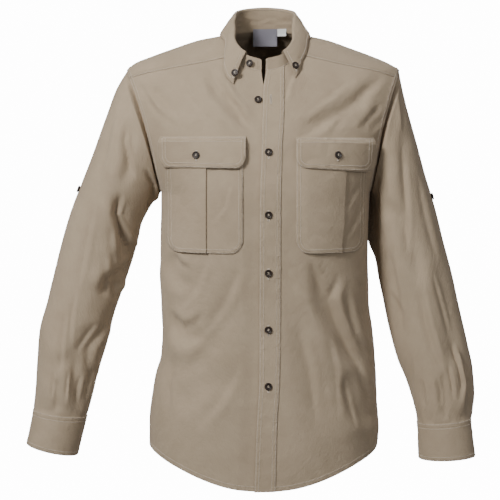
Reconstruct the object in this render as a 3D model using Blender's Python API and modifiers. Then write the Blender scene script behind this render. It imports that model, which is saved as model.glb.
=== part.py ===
"""A man's long-sleeved safari shirt, filled out as it hangs on a wearer, with no wearer in it.

Metres, Z up. The shirt faces -Y and its wearer's left is +X. The origin lies between the two
points where the shoulders meet the neck, which is where a wearer holds the shirt up.

Each piece that a maker cuts and sews is a wall of cloth between two faces of one grid of points.
The torso is one smooth surface in an angle round the body and a height, and its panels, yoke and
pockets are regions of it. The sleeves are rings between an outer and an inner rail.
"""

import math

import bpy
import numpy as np
from mathutils import Vector

# Thickness of the cloth and the clearances between pieces
CLOTH = 0.0012
LINED = 0.0022
LEAF = 0.0018
FOLDED = 0.0010
BAND_THICK = 0.0014
SEAM_GAP = 0.0003
LAYER_GAP = 0.0006

# Torso: half widths to the wearer's right and left, and depths to the front and back
ROUNDNESS = 2.35
TORSO_COLUMNS = ("height", "right", "left", "front", "back")
TORSO_ROWS = (
    (0.016, 0.048, 0.048, 0.010, 0.048),
    (0.010, 0.054, 0.054, 0.012, 0.053),
    (0.003, 0.062, 0.062, 0.015, 0.059),
    (0.000, 0.070, 0.068, 0.0185, 0.062),
    (-0.0085, 0.1115, 0.105, 0.0250, 0.068),
    (-0.022, 0.152, 0.144, 0.0372, 0.076),
    (-0.035, 0.188, 0.179, 0.0505, 0.083),
    (-0.049, 0.222, 0.211, 0.0625, 0.090),
    (-0.060, 0.233, 0.226, 0.0712, 0.095),
    (-0.100, 0.239, 0.232, 0.0940, 0.109),
    (-0.160, 0.223, 0.219, 0.1170, 0.121),
    (-0.220, 0.196, 0.1955, 0.1300, 0.123),
    (-0.264, 0.1765, 0.1775, 0.134, 0.121),
    (-0.330, 0.1775, 0.1755, 0.133, 0.115),
    (-0.450, 0.1768, 0.1775, 0.126, 0.107),
    (-0.500, 0.1755, 0.1840, 0.125, 0.106),
    (-0.545, 0.1785, 0.1885, 0.126, 0.108),
    (-0.580, 0.1880, 0.1910, 0.128, 0.110),
    (-0.620, 0.1940, 0.1930, 0.130, 0.113),
    (-0.665, 0.1985, 0.1965, 0.132, 0.116),
    (-0.700, 0.1990, 0.1945, 0.133, 0.118),
    (-0.860, 0.1980, 0.1930, 0.134, 0.121),
)

# Neckline, armholes and yoke
NECK_FRONT = -0.062
NECK_SIDE = 0.003
NECK_BACK = 0.010
NECK_SPREAD = {"right": 3.1, "left": 2.6}
NECK_CORNER = math.radians(46)
NECK_OVAL = {"side": 0.062, "front": 0.0725, "back": 0.053}
ARM_TOP = -0.060
ARM_BOTTOM = -0.264
ARM_DEPTH = {1: 0.058, -1: 0.056}
ARM_BOW = {1: 0.008, -1: 0.003}
ARM_STEPS = 24
YOKE_FRONT_STEP = 2
YOKE_BACK_STEP = 4
YOKE_SPREAD = 1.5

# Hem: height at the side seams and at the middle of the front and back tails
HEM_SIDE = -0.694
HEM_FRONT = -0.752
HEM_BACK = -0.782

# Front edges, measured from the middle. The right front runs under the left.
EDGE_COLUMNS = ("height", "right", "left", "band")
EDGE_ROWS = (
    (0.000, -0.008, 0.002, 0.0310),
    (-0.062, -0.0065, 0.0005, 0.0310),
    (-0.092, -0.0020, -0.0038, 0.0308),
    (-0.120, 0.0030, -0.0050, 0.0304),
    (-0.195, 0.0120, -0.0074, 0.0266),
    (-0.285, 0.0140, -0.0101, 0.0247),
    (-0.435, 0.0140, -0.0105, 0.0247),
    (-0.562, 0.0140, -0.0108, 0.0232),
    (-0.640, 0.0100, -0.0147, 0.0191),
    (-0.760, 0.0080, -0.0190, 0.0163),
)

# Sleeves: the rails seen from the front, the middle's place in depth and the half depth
SLEEVE_COLUMNS = (
    "ring",
    "outer_x",
    "outer_z",
    "inner_x",
    "inner_z",
    "middle_y",
    "depth",
)
SLEEVE_ROWS = {
    "right": (
        (0, 0.2330, -0.060, 0.1765, -0.264, 0.000, 0.057),
        (1, 0.2505, -0.089, 0.1820, -0.272, 0.001, 0.060),
        (2, 0.2694, -0.138, 0.1910, -0.284, 0.002, 0.063),
        (3, 0.2920, -0.199, 0.2010, -0.300, 0.003, 0.065),
        (4, 0.3128, -0.251, 0.2110, -0.320, 0.004, 0.064),
        (5, 0.3338, -0.306, 0.2165, -0.3435, 0.005, 0.062),
        (6, 0.3532, -0.374, 0.2356, -0.407, 0.004, 0.058),
        (7, 0.3710, -0.443, 0.2583, -0.472, 0.001, 0.055),
        (8, 0.3854, -0.502, 0.2707, -0.522, -0.003, 0.054),
        (9, 0.3885, -0.553, 0.2866, -0.574, -0.008, 0.051),
        (10, 0.3916, -0.595, 0.2955, -0.611, -0.013, 0.047),
        (11, 0.3954, -0.633, 0.3044, -0.6455, -0.017, 0.041),
        (12, 0.4070, -0.693, 0.3205, -0.7126, -0.022, 0.040),
    ),
    "left": (
        (0, 0.2260, -0.060, 0.1775, -0.264, 0.000, 0.057),
        (1, 0.2335, -0.096, 0.1822, -0.272, 0.001, 0.060),
        (2, 0.2425, -0.1295, 0.1850, -0.284, 0.002, 0.063),
        (3, 0.2543, -0.170, 0.1865, -0.300, 0.003, 0.065),
        (4, 0.2701, -0.2276, 0.1870, -0.322, 0.004, 0.065),
        (5, 0.2877, -0.2854, 0.1875, -0.350, 0.005, 0.064),
        (6, 0.3036, -0.3435, 0.1910, -0.387, 0.005, 0.062),
        (7, 0.3196, -0.4017, 0.2000, -0.434, 0.003, 0.060),
        (8, 0.3339, -0.4636, 0.2126, -0.495, 0.000, 0.058),
        (9, 0.3465, -0.5188, 0.2268, -0.548, -0.004, 0.055),
        (10, 0.3557, -0.5673, 0.2425, -0.588, -0.009, 0.052),
        (11, 0.3575, -0.609, 0.2540, -0.6265, -0.014, 0.047),
        (12, 0.3535, -0.6473, 0.2603, -0.656, -0.018, 0.042),
        (13, 0.3609, -0.7136, 0.2635, -0.719, -0.022, 0.041),
    ),
}
SLEEVE_BLEND = 2.5
SLEEVE_RINGS = 18
CUFF_OPENING = {"right": math.radians(-62), "left": math.radians(-42)}
CUFF_LAP = math.radians(34)
CUFF_PROUD = 0.0008
PLACKET_RINGS = 2.0
PLACKET_TURN = math.radians(24)
PLACKET_THICK = 0.0016

# Collar: the stand's height, how far it leans in, and the leaf's free edge on the body
STAND_COLUMNS = ("turn", "rise", "lean")
STAND_ROWS = (
    (0, 0.0215, 0.06),
    (25, 0.0215, 0.12),
    (60, 0.0230, 0.34),
    (90, 0.0275, 0.42),
    (120, 0.0330, 0.26),
    (150, 0.0345, 0.10),
    (180, 0.0350, 0.05),
)
LEAF_COLUMNS = ("turn", "edge_turn", "edge_height")
LEAF_ROWS = {
    "right": (
        (22, 28.0, -0.0895),
        (30, 36.5, -0.0785),
        (38, 44.8, -0.0595),
        (46, 50.5, -0.0435),
        (60, 62.0, -0.0220),
        (75, 74.5, -0.0080),
        (90, 90.0, 0.0000),
        (120, 120, 0.0000),
        (180, 180, 0.0010),
    ),
    "left": (
        (22, 30.2, -0.0775),
        (30, 37.6, -0.0640),
        (38, 44.6, -0.0490),
        (46, 51.5, -0.0390),
        (60, 63.0, -0.0235),
        (75, 75.7, -0.0080),
        (90, 90.0, 0.0000),
        (120, 120, 0.0000),
        (180, 180, 0.0010),
    ),
}
LEAF_START = 3
LEAF_CLEAR = 0.0028
LEAF_BEND = (
    (-0.0011, 0.0005),
    (-0.0010, 0.0026),
    (0.0003, 0.0043),
    (0.0022, 0.0044),
    (0.0037, 0.0026),
)
LEAF_ROWS_DOWN = 4
LEAF_BOW = 0.0025

# Chest pockets: the patch, its tuck and its flap, seen from the front
POCKETS = {
    "right": {"from": -0.165, "to": -0.036, "tuck": -0.096, "tuck_low": -0.096},
    "left": {"from": 0.049, "to": 0.166, "tuck": 0.131, "tuck_low": 0.123},
}
POCKET_TOP = -0.181
POCKET_BOTTOM = -0.361
POCKET_CORNER = 0.026
TUCK_DEPTH = 0.009
POCKET_GAP = 0.0010
FLAPS = {
    "right": {"from": -0.172, "to": -0.032, "top": -0.170, "sag": 0.003},
    "left": {"from": 0.049, "to": 0.178, "top": -0.1715, "sag": 0.006},
}
FLAP_DROP = 0.050
FLAP_CORNER = 0.020
FLAP_RISE = 0.0056
FLAP_THICK = 0.0016

# Buttons
BUTTON_RADIUS = 0.0062
BUTTON_THICK = 0.0026
BUTTON_SIDES = 10
FRONT_BUTTONS = (-0.195, -0.296, -0.391, -0.484, -0.577)
FRONT_BUTTON_ACROSS = 0.0045
FREE_BUTTON = (-0.0122, -0.1096)
STAND_BUTTON = (-0.0255, -0.0500)
POINT_BUTTONS = {"right": (-0.0500, -0.0660), "left": (0.0487, -0.0540)}
FLAP_BUTTONS = {"right": (-0.1128, -0.1997), "left": (0.1173, -0.1995)}
TAB_BUTTONS = {"right": (12, 4.15), "left": (14, 4.75)}
CUFF_BUTTON_SHARE = 0.5

# Labels sewn into the back of the neck
LABELS = {"neck_label": (0.0004, 0.0410, 0.0270), "size_label": (0.0290, 0.0150, 0.0095)}
LABEL_THICK = 0.0010
LABEL_TUCK = 0.0030

# Largest folds, on the torso and on the sleeves. Face 1 is the front and -1 the back. Each runs
# from one point to another as seen from the front, bows to its left, and is a trough where its
# depth is negative, with a softer ridge along its right side.
FOLD_COLUMNS = (
    "face",
    "from_x",
    "from_z",
    "to_x",
    "to_z",
    "bow",
    "width",
    "depth",
)
TORSO_FOLDS = (
    (1, -0.195, -0.085, -0.146, -0.146, 0.004, 0.009, -0.0032),
    (1, -0.098, -0.072, -0.020, -0.160, -0.006, 0.008, -0.0042),
    (1, -0.072, -0.098, -0.034, -0.132, 0.000, 0.007, -0.0024),
    (1, 0.190, -0.075, 0.055, -0.158, 0.008, 0.010, -0.0045),
    (1, 0.172, -0.105, 0.105, -0.160, 0.004, 0.009, -0.0038),
    (1, 0.190, -0.122, 0.156, -0.163, 0.003, 0.008, -0.0030),
    (1, -0.165, -0.365, -0.120, -0.425, -0.006, 0.013, -0.0040),
    (1, -0.160, -0.470, -0.095, -0.492, -0.018, 0.014, -0.0060),
    (1, -0.060, -0.430, -0.125, -0.560, 0.010, 0.018, -0.0040),
    (1, 0.080, -0.375, 0.181, -0.565, -0.020, 0.015, -0.0085),
    (1, 0.130, -0.560, 0.190, -0.655, -0.010, 0.015, -0.0060),
    (1, 0.055, -0.440, 0.105, -0.660, -0.010, 0.022, -0.0040),
    (1, -0.150, -0.620, -0.060, -0.560, 0.010, 0.022, -0.0035),
    (-1, -0.150, -0.200, -0.060, -0.330, 0.010, 0.016, -0.0055),
    (-1, 0.150, -0.210, 0.070, -0.340, -0.010, 0.016, -0.0055),
    (-1, 0.165, -0.420, 0.040, -0.520, 0.015, 0.018, -0.0070),
    (-1, -0.165, -0.430, -0.050, -0.500, -0.012, 0.017, -0.0060),
    (-1, 0.020, -0.300, -0.020, -0.560, 0.008, 0.022, -0.0045),
    (-1, -0.130, -0.540, -0.090, -0.720, 0.008, 0.020, -0.0050),
    (-1, 0.120, -0.560, 0.085, -0.740, -0.008, 0.020, -0.0050),
)
SLEEVE_FOLDS = (
    (1, -0.228, -0.140, -0.236, -0.255, 0.006, 0.010, -0.0045),
    (1, -0.252, -0.265, -0.240, -0.385, 0.010, 0.011, -0.0090),
    (1, -0.238, -0.392, -0.276, -0.438, -0.004, 0.010, -0.0080),
    (1, -0.318, -0.540, -0.312, -0.632, -0.004, 0.009, -0.0055),
    (1, -0.352, -0.575, -0.352, -0.636, 0.002, 0.007, -0.0035),
    (1, -0.290, -0.480, -0.345, -0.560, 0.010, 0.014, -0.0040),
    (1, 0.232, -0.150, 0.240, -0.300, -0.004, 0.012, -0.0045),
    (1, 0.205, -0.275, 0.262, -0.420, 0.008, 0.012, -0.0055),
    (1, 0.285, -0.370, 0.318, -0.560, 0.008, 0.014, -0.0050),
    (1, 0.334, -0.535, 0.345, -0.640, 0.006, 0.007, -0.0060),
    (1, 0.300, -0.560, 0.306, -0.648, -0.003, 0.008, -0.0040),
    (-1, -0.225, -0.190, -0.262, -0.330, 0.008, 0.013, -0.0055),
    (-1, -0.330, -0.350, -0.272, -0.430, 0.008, 0.013, -0.0060),
    (-1, -0.352, -0.510, -0.335, -0.636, 0.005, 0.010, -0.0050),
    (-1, 0.220, -0.190, 0.252, -0.340, -0.008, 0.013, -0.0055),
    (-1, 0.300, -0.380, 0.235, -0.460, -0.008, 0.013, -0.0060),
    (-1, 0.325, -0.530, 0.300, -0.645, -0.005, 0.010, -0.0050),
)
FOLD_FADE = 0.16
FOLD_RIDGE = 0.55

SIDE_SIGN = {"right": -1.0, "left": 1.0}
SMALL_STEP = 1e-4


class Table:
    """Rows of sizes with named columns, read along the first column without overshoot."""

    def __init__(self, columns, rows):
        data = np.array(sorted(rows), float).T
        self.key = data[0]
        self.columns = {
            name: (values, self.slopes(data[0], values))
            for name, values in zip(columns[1:], data[1:])
        }

    @staticmethod
    def slopes(key, values):
        steps = np.diff(key)
        secants = np.diff(values) / steps
        found = np.concatenate([secants[:1], np.zeros(len(steps) - 1), secants[-1:]])
        before, after = secants[:-1], secants[1:]
        same = before * after > 0
        near = 2 * steps[1:] + steps[:-1]
        far = steps[1:] + 2 * steps[:-1]
        safe_before = np.where(same, before, 1.0)
        safe_after = np.where(same, after, 1.0)
        mean = (near + far) / (near / safe_before + far / safe_after)
        found[1:-1] = np.where(same, mean, 0.0)
        return found

    def at(self, name, key):
        values, slopes = self.columns[name]
        key = np.clip(np.asarray(key, float), self.key[0], self.key[-1])
        i = np.clip(np.searchsorted(self.key, key, side="right") - 1, 0, len(values) - 2)
        step = self.key[i + 1] - self.key[i]
        t = (key - self.key[i]) / step
        rise = values[i + 1] - values[i]
        smooth = t * t * (3 - 2 * t)
        start = t * (1 - t) ** 2 * step * slopes[i]
        end = t * t * (t - 1) * step * slopes[i + 1]
        return values[i] + rise * smooth + start + end


TORSO = Table(TORSO_COLUMNS, TORSO_ROWS)
EDGES = Table(EDGE_COLUMNS, EDGE_ROWS)
STAND = Table(STAND_COLUMNS, STAND_ROWS)
SLEEVES = {side: Table(SLEEVE_COLUMNS, rows) for side, rows in SLEEVE_ROWS.items()}
LEAVES = {side: Table(LEAF_COLUMNS, rows) for side, rows in LEAF_ROWS.items()}


def smooth_step(t):
    t = np.clip(t, 0.0, 1.0)
    return t * t * (3 - 2 * t)


def unit(vectors):
    vectors = np.asarray(vectors, float)
    return vectors / np.maximum(np.linalg.norm(vectors, axis=-1, keepdims=True), 1e-12)


def fold_height(points, normals, rows):
    """How far the folds move each point out along its normal. Negative is a trough."""
    total = np.zeros(points.shape[:-1])
    for row in rows:
        fold = dict(zip(FOLD_COLUMNS, row))
        start = np.array([fold["from_x"], fold["from_z"]])
        run = np.array([fold["to_x"], fold["to_z"]]) - start
        length = np.linalg.norm(run)
        along = run / length
        offset = points[..., [0, 2]] - start
        share = offset @ along / length
        beside = offset @ np.array([-along[1], along[0]])
        beside = beside - fold["bow"] * 4 * share * (1 - share)
        ends = smooth_step((share + 0.05) / 0.3) * smooth_step((1.05 - share) / 0.3)
        facing = smooth_step(-fold["face"] * normals[..., 1] / FOLD_FADE)
        trough = np.exp(-((beside / fold["width"]) ** 2))
        ridge = np.exp(-(((beside + 1.9 * fold["width"]) / (1.3 * fold["width"])) ** 2))
        total += fold["depth"] * ends * facing * (trough - FOLD_RIDGE * ridge)
    return total


def surface_normals(surface, a, b):
    """Outward normals of surface(a, b), whose first direction turned to its second faces out."""
    along_a = surface(a + SMALL_STEP, b) - surface(a - SMALL_STEP, b)
    along_b = surface(a, b + SMALL_STEP) - surface(a, b - SMALL_STEP)
    return unit(np.cross(along_a, along_b))


def grid_normals(points):
    """Normals of a grid of points, from its own rows and columns."""
    return unit(np.cross(np.gradient(points, axis=1), np.gradient(points, axis=0)))


# Torso surface


def torso_base(turn, height):
    """The smooth torso at an angle from the centre front towards the wearer's left."""
    turn, height = np.broadcast_arrays(np.asarray(turn, float), np.asarray(height, float))
    sine, cosine = np.sin(turn), np.cos(turn)
    deep = np.where(cosine > 0, TORSO.at("front", height), TORSO.at("back", height))
    left, right = half_width("left", height, cosine), half_width("right", height, cosine)
    half = np.where(sine > 0, left, right)
    reach = (np.abs(sine) / half) ** ROUNDNESS + (np.abs(cosine) / deep) ** ROUNDNESS
    radius = reach ** (-1 / ROUNDNESS)
    return np.stack([radius * sine, -radius * cosine, height], axis=-1)


def arm_place(side, height, front):
    """How far across and how deep the armhole's loop is at a height."""
    rail = SLEEVES[side]
    share = np.clip((height - ARM_BOTTOM) / (ARM_TOP - ARM_BOTTOM), 0.0, 1.0)
    low, top = rail.at("inner_x", 0), rail.at("outer_x", 0)
    bow = np.where(front, ARM_BOW[1], ARM_BOW[-1])
    across = low + (top - low) * share - bow * 4 * share * (1 - share)
    depth = np.where(front, ARM_DEPTH[1], ARM_DEPTH[-1]) * 2 * np.sqrt(share * (1 - share))
    return across, depth


def half_width(side, height, facing):
    """The torso's half width. Between an armhole's ends it carries the surface through its loop."""
    front = facing > 0
    deep = np.where(front, TORSO.at("front", height), TORSO.at("back", height))
    across, depth = arm_place(side, height, front)
    through = across / (1 - (depth / deep) ** ROUNDNESS) ** (1 / ROUNDNESS)
    beside_arm = (height < ARM_TOP) & (height > ARM_BOTTOM)
    return np.where(beside_arm, through, TORSO.at(side, height))


def torso_normal(turn, height):
    return surface_normals(torso_base, np.asarray(turn, float), np.asarray(height, float))


def torso_cloth(turn, height):
    """Points of the folded cloth and the outward normals of the smooth torso there."""
    points, normals = torso_base(turn, height), torso_normal(turn, height)
    folds = fold_height(points, normals, TORSO_FOLDS)
    return points + normals * folds[..., None], normals


def torso_turn(across, height, face=1):
    """The angle at which the torso is this far across, on its front or its back."""
    side = "left" if np.mean(across) > 0 else "right"
    half = half_width(side, height, face)
    deep = TORSO.at("front" if face > 0 else "back", height)
    share = np.clip(np.abs(across) / half, 0.0, 1.0)
    depth = deep * (1 - share**ROUNDNESS) ** (1 / ROUNDNESS)
    return np.arctan2(across, face * depth)


def arm_height(step):
    """Heights of the armhole's points, counted from the shoulder tip round its front."""
    middle, half = (ARM_TOP + ARM_BOTTOM) / 2, (ARM_TOP - ARM_BOTTOM) / 2
    return middle + half * np.cos(2 * np.pi * np.asarray(step, float) / ARM_STEPS)


def arm_turn(side, height, face):
    """The angle of the armhole's edge at a height on the front or the back."""
    across, depth = arm_place(side, height, face > 0)
    return np.arctan2(SIDE_SIGN[side] * across, face * depth)


def outer_turn(side, height, face):
    """The angle where a panel ends: the armhole, or the side seam below it and the ridge above."""
    quarter = np.full(np.shape(height), SIDE_SIGN[side] * np.pi / 2)
    inside = (height < ARM_TOP) & (height > ARM_BOTTOM)
    level = np.clip(height, ARM_BOTTOM, ARM_TOP)
    return np.where(inside, arm_turn(side, level, face), quarter)


def neck_height(turn):
    """The neckline's height at an angle."""
    spread = np.where(turn > 0, NECK_SPREAD["left"], NECK_SPREAD["right"])
    rise = np.sin(np.minimum(np.abs(turn), np.pi / 2)) ** spread
    front = NECK_FRONT + (NECK_SIDE - NECK_FRONT) * rise
    behind = np.sin(np.maximum(np.abs(turn) - np.pi / 2, 0.0)) ** 2
    return np.where(np.abs(turn) > np.pi / 2, NECK_SIDE + (NECK_BACK - NECK_SIDE) * behind, front)


def radial_of(turn, height):
    """Level directions straight out of the oval of the neck."""
    points = torso_base(turn, height)
    deep = np.where(np.cos(turn) > 0, NECK_OVAL["front"], NECK_OVAL["back"])
    across = points[..., 0] / NECK_OVAL["side"] ** 2
    along = points[..., 1] / deep**2
    return unit(np.stack([across, along, np.zeros_like(across)], axis=-1))


def stand_frame(turn, height):
    """The stand's own outward and upward directions above a point of the neckline."""
    radial = radial_of(turn, height)
    lean = STAND.at("lean", np.degrees(np.abs(turn)))[..., None]
    up = np.array([0.0, 0.0, 1.0])
    return unit(radial + lean * up), unit(up - lean * radial)


def neck_normal(turn, height):
    """The direction that the panels' and the stand's edges share along the neckline."""
    return unit(torso_normal(turn, height) + stand_frame(turn, height)[0])


# Sleeve surface


def sleeve_base(side, turn, ring):
    """The smooth sleeve. Turn 0 is its outer rail, a quarter its front and a half its inner."""
    turn, ring = np.broadcast_arrays(np.asarray(turn, float), np.asarray(ring, float))
    rail, sign = SLEEVES[side], SIDE_SIGN[side]
    swing = (1 + np.cos(turn)) / 2
    x = rail.at("inner_x", ring) + (rail.at("outer_x", ring) - rail.at("inner_x", ring)) * swing
    z = rail.at("inner_z", ring) + (rail.at("outer_z", ring) - rail.at("inner_z", ring)) * swing
    front = np.sin(turn) >= 0
    share = 1 - smooth_step(ring / SLEEVE_BLEND)
    x = x - np.where(front, ARM_BOW[1], ARM_BOW[-1]) * np.sin(turn) ** 2 * share
    armhole_y = -np.where(front, ARM_DEPTH[1], ARM_DEPTH[-1]) * np.sin(turn)
    round_y = rail.at("middle_y", ring) - rail.at("depth", ring) * np.sin(turn)
    y = round_y + (armhole_y - round_y) * share
    return np.stack([sign * x, y, z], axis=-1)


def sleeve_normal(side, turn, ring):
    turn, ring = np.asarray(turn, float), np.asarray(ring, float)
    low = np.maximum(ring - SMALL_STEP, 0.0)
    around = sleeve_base(side, turn + SMALL_STEP, ring) - sleeve_base(side, turn - SMALL_STEP, ring)
    along = sleeve_base(side, turn, ring + SMALL_STEP) - sleeve_base(side, turn, low)
    return unit(np.cross(around, along)) * SIDE_SIGN[side]


def sleeve_cloth(side, turn, ring):
    points, normals = sleeve_base(side, turn, ring), sleeve_normal(side, turn, ring)
    start = smooth_step(np.broadcast_to(ring, points.shape[:-1]) / 1.2)
    folds = fold_height(points, normals, SLEEVE_FOLDS) * start
    return points + normals * folds[..., None], normals


def arm_seam(side):
    """The armhole's points, which the panels and the sleeve share, and their shared normals."""
    steps = np.arange(ARM_STEPS)
    heights = arm_height(steps)
    turns = np.array(
        [arm_turn(side, h, 1 if s <= ARM_STEPS / 2 else -1) for s, h in zip(steps, heights)]
    )
    points, normals = torso_cloth(turns, heights)
    angles = 2 * np.pi * steps / ARM_STEPS
    return points, unit(normals + sleeve_normal(side, angles, np.zeros(ARM_STEPS)))


# Walls of cloth


def inset_edges(points, normals, edges, amount):
    """Draws the named edges of a grid back along the cloth, to leave half a seam gap."""
    moved = points.copy()
    lines = {
        "top": ((0, slice(None)), (1, slice(None))),
        "bottom": ((-1, slice(None)), (-2, slice(None))),
        "first": ((slice(None), 0), (slice(None), 1)),
        "last": ((slice(None), -1), (slice(None), -2)),
    }
    for edge in edges:
        line, beside = lines[edge]
        tangent = np.gradient(points[line], axis=0)
        inward = unit(np.cross(tangent, normals[line]))
        towards = points[beside] - points[line]
        sign = np.sign(np.sum(inward * towards, axis=-1, keepdims=True))
        moved[line] += inward * sign * amount
    return moved


def mesh_object(name, vertices, faces, material, collection):
    mesh = bpy.data.meshes.new(name)
    mesh.from_pydata([tuple(v) for v in vertices], [], faces)
    mesh.update()
    mesh.materials.append(material)
    mesh.shade_smooth()
    mesh.set_sharp_from_angle(angle=math.radians(50))
    made = bpy.data.objects.new(name, mesh)
    collection.objects.link(made)
    return made


def wall(name, points, normals, inner, outer, material, collection, closed=False):
    """A solid wall of cloth: an outer and an inner face a thickness apart, and its rims.

    A closed wall joins its last column to its first. Inner and outer are heights over the grid's
    own points.
    """
    rows, columns = points.shape[:2]
    spread = np.cross(np.gradient(points, axis=0), np.gradient(points, axis=1))
    mirrored = np.sum(spread * normals) < 0
    inner = np.broadcast_to(inner, (rows, columns))[..., None]
    outer = np.broadcast_to(outer, (rows, columns))[..., None]
    outside = (points + normals * outer).reshape(-1, 3)
    inside = (points + normals * inner).reshape(-1, 3)
    vertices = np.concatenate([outside, inside])
    shift = rows * columns
    spans = columns if closed else columns - 1

    def at(row, column):
        return row * columns + column % columns

    faces = []
    for row in range(rows - 1):
        for column in range(spans):
            quad = [
                at(row, column),
                at(row + 1, column),
                at(row + 1, column + 1),
                at(row, column + 1),
            ]
            faces.append(quad)
            faces.append([v + shift for v in reversed(quad)])
    for column in range(spans):
        top = (at(0, column), at(0, column + 1))
        low = (at(rows - 1, column + 1), at(rows - 1, column))
        for first, second in (top, low):
            faces.append([first, second, second + shift, first + shift])
    if not closed:
        for row in range(rows - 1):
            start = (at(row + 1, 0), at(row, 0))
            end = (at(row, columns - 1), at(row + 1, columns - 1))
            for first, second in (start, end):
                faces.append([first, second, second + shift, first + shift])
    if mirrored:
        faces = [list(reversed(face)) for face in faces]
    return mesh_object(name, vertices, faces, material, collection)


# Panels of the torso


def edge_across(side, height):
    return EDGES.at(side, height)


def front_turns(side, share, height):
    """The angle at a share of the way from a front's edge to its armhole or side seam."""
    start = torso_turn_each(edge_across(side, height), height)
    return start + (outer_turn(side, height, 1) - start) * share


def torso_turn_each(across, height):
    """torso_turn for values that may lie on both sides of the middle."""
    across, height = np.broadcast_arrays(np.asarray(across, float), np.asarray(height, float))
    left = torso_turn(np.maximum(across, 1e-9), height)
    right = torso_turn(np.minimum(across, -1e-9), height)
    return np.where(across > 0, left, right)


def yoke_seam_front(side, share):
    """The front yoke seam, from the neckline to the armhole, as angle and height."""
    sign = SIDE_SIGN[side]
    end_height = arm_height(YOKE_FRONT_STEP)
    end_turn = arm_turn(side, end_height, 1)
    turn = sign * NECK_CORNER + (end_turn - sign * NECK_CORNER) * share
    start_height = neck_height(sign * NECK_CORNER)
    height = start_height + (end_height - start_height) * share**YOKE_SPREAD
    return turn, height


NECK_COLUMNS = 6
SEAM_COLUMNS = 8
LOWER_ROWS = 12
BACK_HALF_COLUMNS = 8


def front_top(side):
    """Angles and heights along a front's top edge: the neckline, then the yoke seam."""
    sign = SIDE_SIGN[side]
    start = torso_turn_each(edge_across(side, NECK_FRONT), NECK_FRONT)
    neck = start + (sign * NECK_CORNER - start) * np.linspace(0, 1, NECK_COLUMNS + 1)
    seam_turn, seam_height = yoke_seam_front(side, np.linspace(0, 1, SEAM_COLUMNS + 1)[1:])
    turns = np.concatenate([neck, seam_turn])
    heights = np.concatenate([neck_height(neck), seam_height])
    return turns, heights


def hem_height(turn, middle):
    """Shirt tails: low at the middle, rising in a curve to the side seams."""
    share = np.abs(np.sin(turn))
    return middle + (HEM_SIDE - middle) * share**3.2


def panel_rows(tops, hems, first_step, last_step):
    """Heights of a panel's rows. At the armhole they fall on the points that the sleeve shares."""
    steps = np.arange(first_step, last_step + 1)
    arm = arm_height(steps)
    share = (arm - arm[0]) / (arm[-1] - arm[0])
    upper = tops[None, :] + (ARM_BOTTOM - tops[None, :]) * share[:, None]
    down = np.linspace(0, 1, LOWER_ROWS + 1)[1:, None]
    lower = ARM_BOTTOM + (hems[None, :] - ARM_BOTTOM) * down
    return np.concatenate([upper, lower])


def right_front_tuck(points, height):
    """How far the right front lies below the left front where it runs under its edge."""
    start = edge_across("left", height) - 0.030
    return -(CLOTH + LAYER_GAP) * smooth_step((points[..., 0] - start) / 0.022)


def front_grid(side):
    """Points and normals of a front, from its edge out and from its top edge down."""
    turns, tops = front_top(side)
    start = torso_turn_each(edge_across(side, tops), tops)
    shares = (turns - start) / (outer_turn(side, tops, 1) - start)
    shares[-1] = 1.0
    end_turn = outer_turn(side, np.full(len(shares), HEM_SIDE), 1)
    hems = hem_height(shares * end_turn, HEM_FRONT)
    heights = panel_rows(tops, hems, YOKE_FRONT_STEP, ARM_STEPS // 2)
    angles = front_turns(side, shares[None, :], heights)
    angles[0] = turns
    points, normals = torso_cloth(angles, heights)
    if side == "right":
        points = points + normals * right_front_tuck(points, heights)[..., None]
    normals[0, : NECK_COLUMNS + 1] = neck_normal(
        angles[0, : NECK_COLUMNS + 1], heights[0, : NECK_COLUMNS + 1]
    )
    arm_rows = ARM_STEPS // 2 - YOKE_FRONT_STEP + 1
    arm_points, arm_normals = arm_seam(side)
    used = np.arange(YOKE_FRONT_STEP, ARM_STEPS // 2 + 1)
    points[:arm_rows, -1], normals[:arm_rows, -1] = arm_points[used], arm_normals[used]
    return points, normals


def back_grid():
    """Points and normals of the back, from the wearer's left to the right."""
    half = np.linspace(1, 0, BACK_HALF_COLUMNS + 1)
    steps = ARM_STEPS - np.arange(YOKE_BACK_STEP, ARM_STEPS // 2 + 1)
    tops = np.full(BACK_HALF_COLUMNS + 1, float(arm_height(YOKE_BACK_STEP)))
    halves = []
    for side in ("left", "right"):
        sign = SIDE_SIGN[side]
        hems = hem_height(half * np.pi / 2, HEM_BACK)
        heights = panel_rows(tops, hems, YOKE_BACK_STEP, ARM_STEPS // 2)
        end = outer_turn(side, heights, -1)
        angles = sign * np.pi + (end - sign * np.pi) * half[None, :]
        points, normals = torso_cloth(angles, heights)
        arm_points, arm_normals = arm_seam(side)
        points[: len(steps), 0] = arm_points[steps]
        normals[: len(steps), 0] = arm_normals[steps]
        halves.append((points, normals))
    (left_p, left_n), (right_p, right_n) = halves
    points = np.concatenate([left_p, right_p[:, -2::-1]], axis=1)
    normals = np.concatenate([left_n, right_n[:, -2::-1]], axis=1)
    return points, normals


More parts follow.
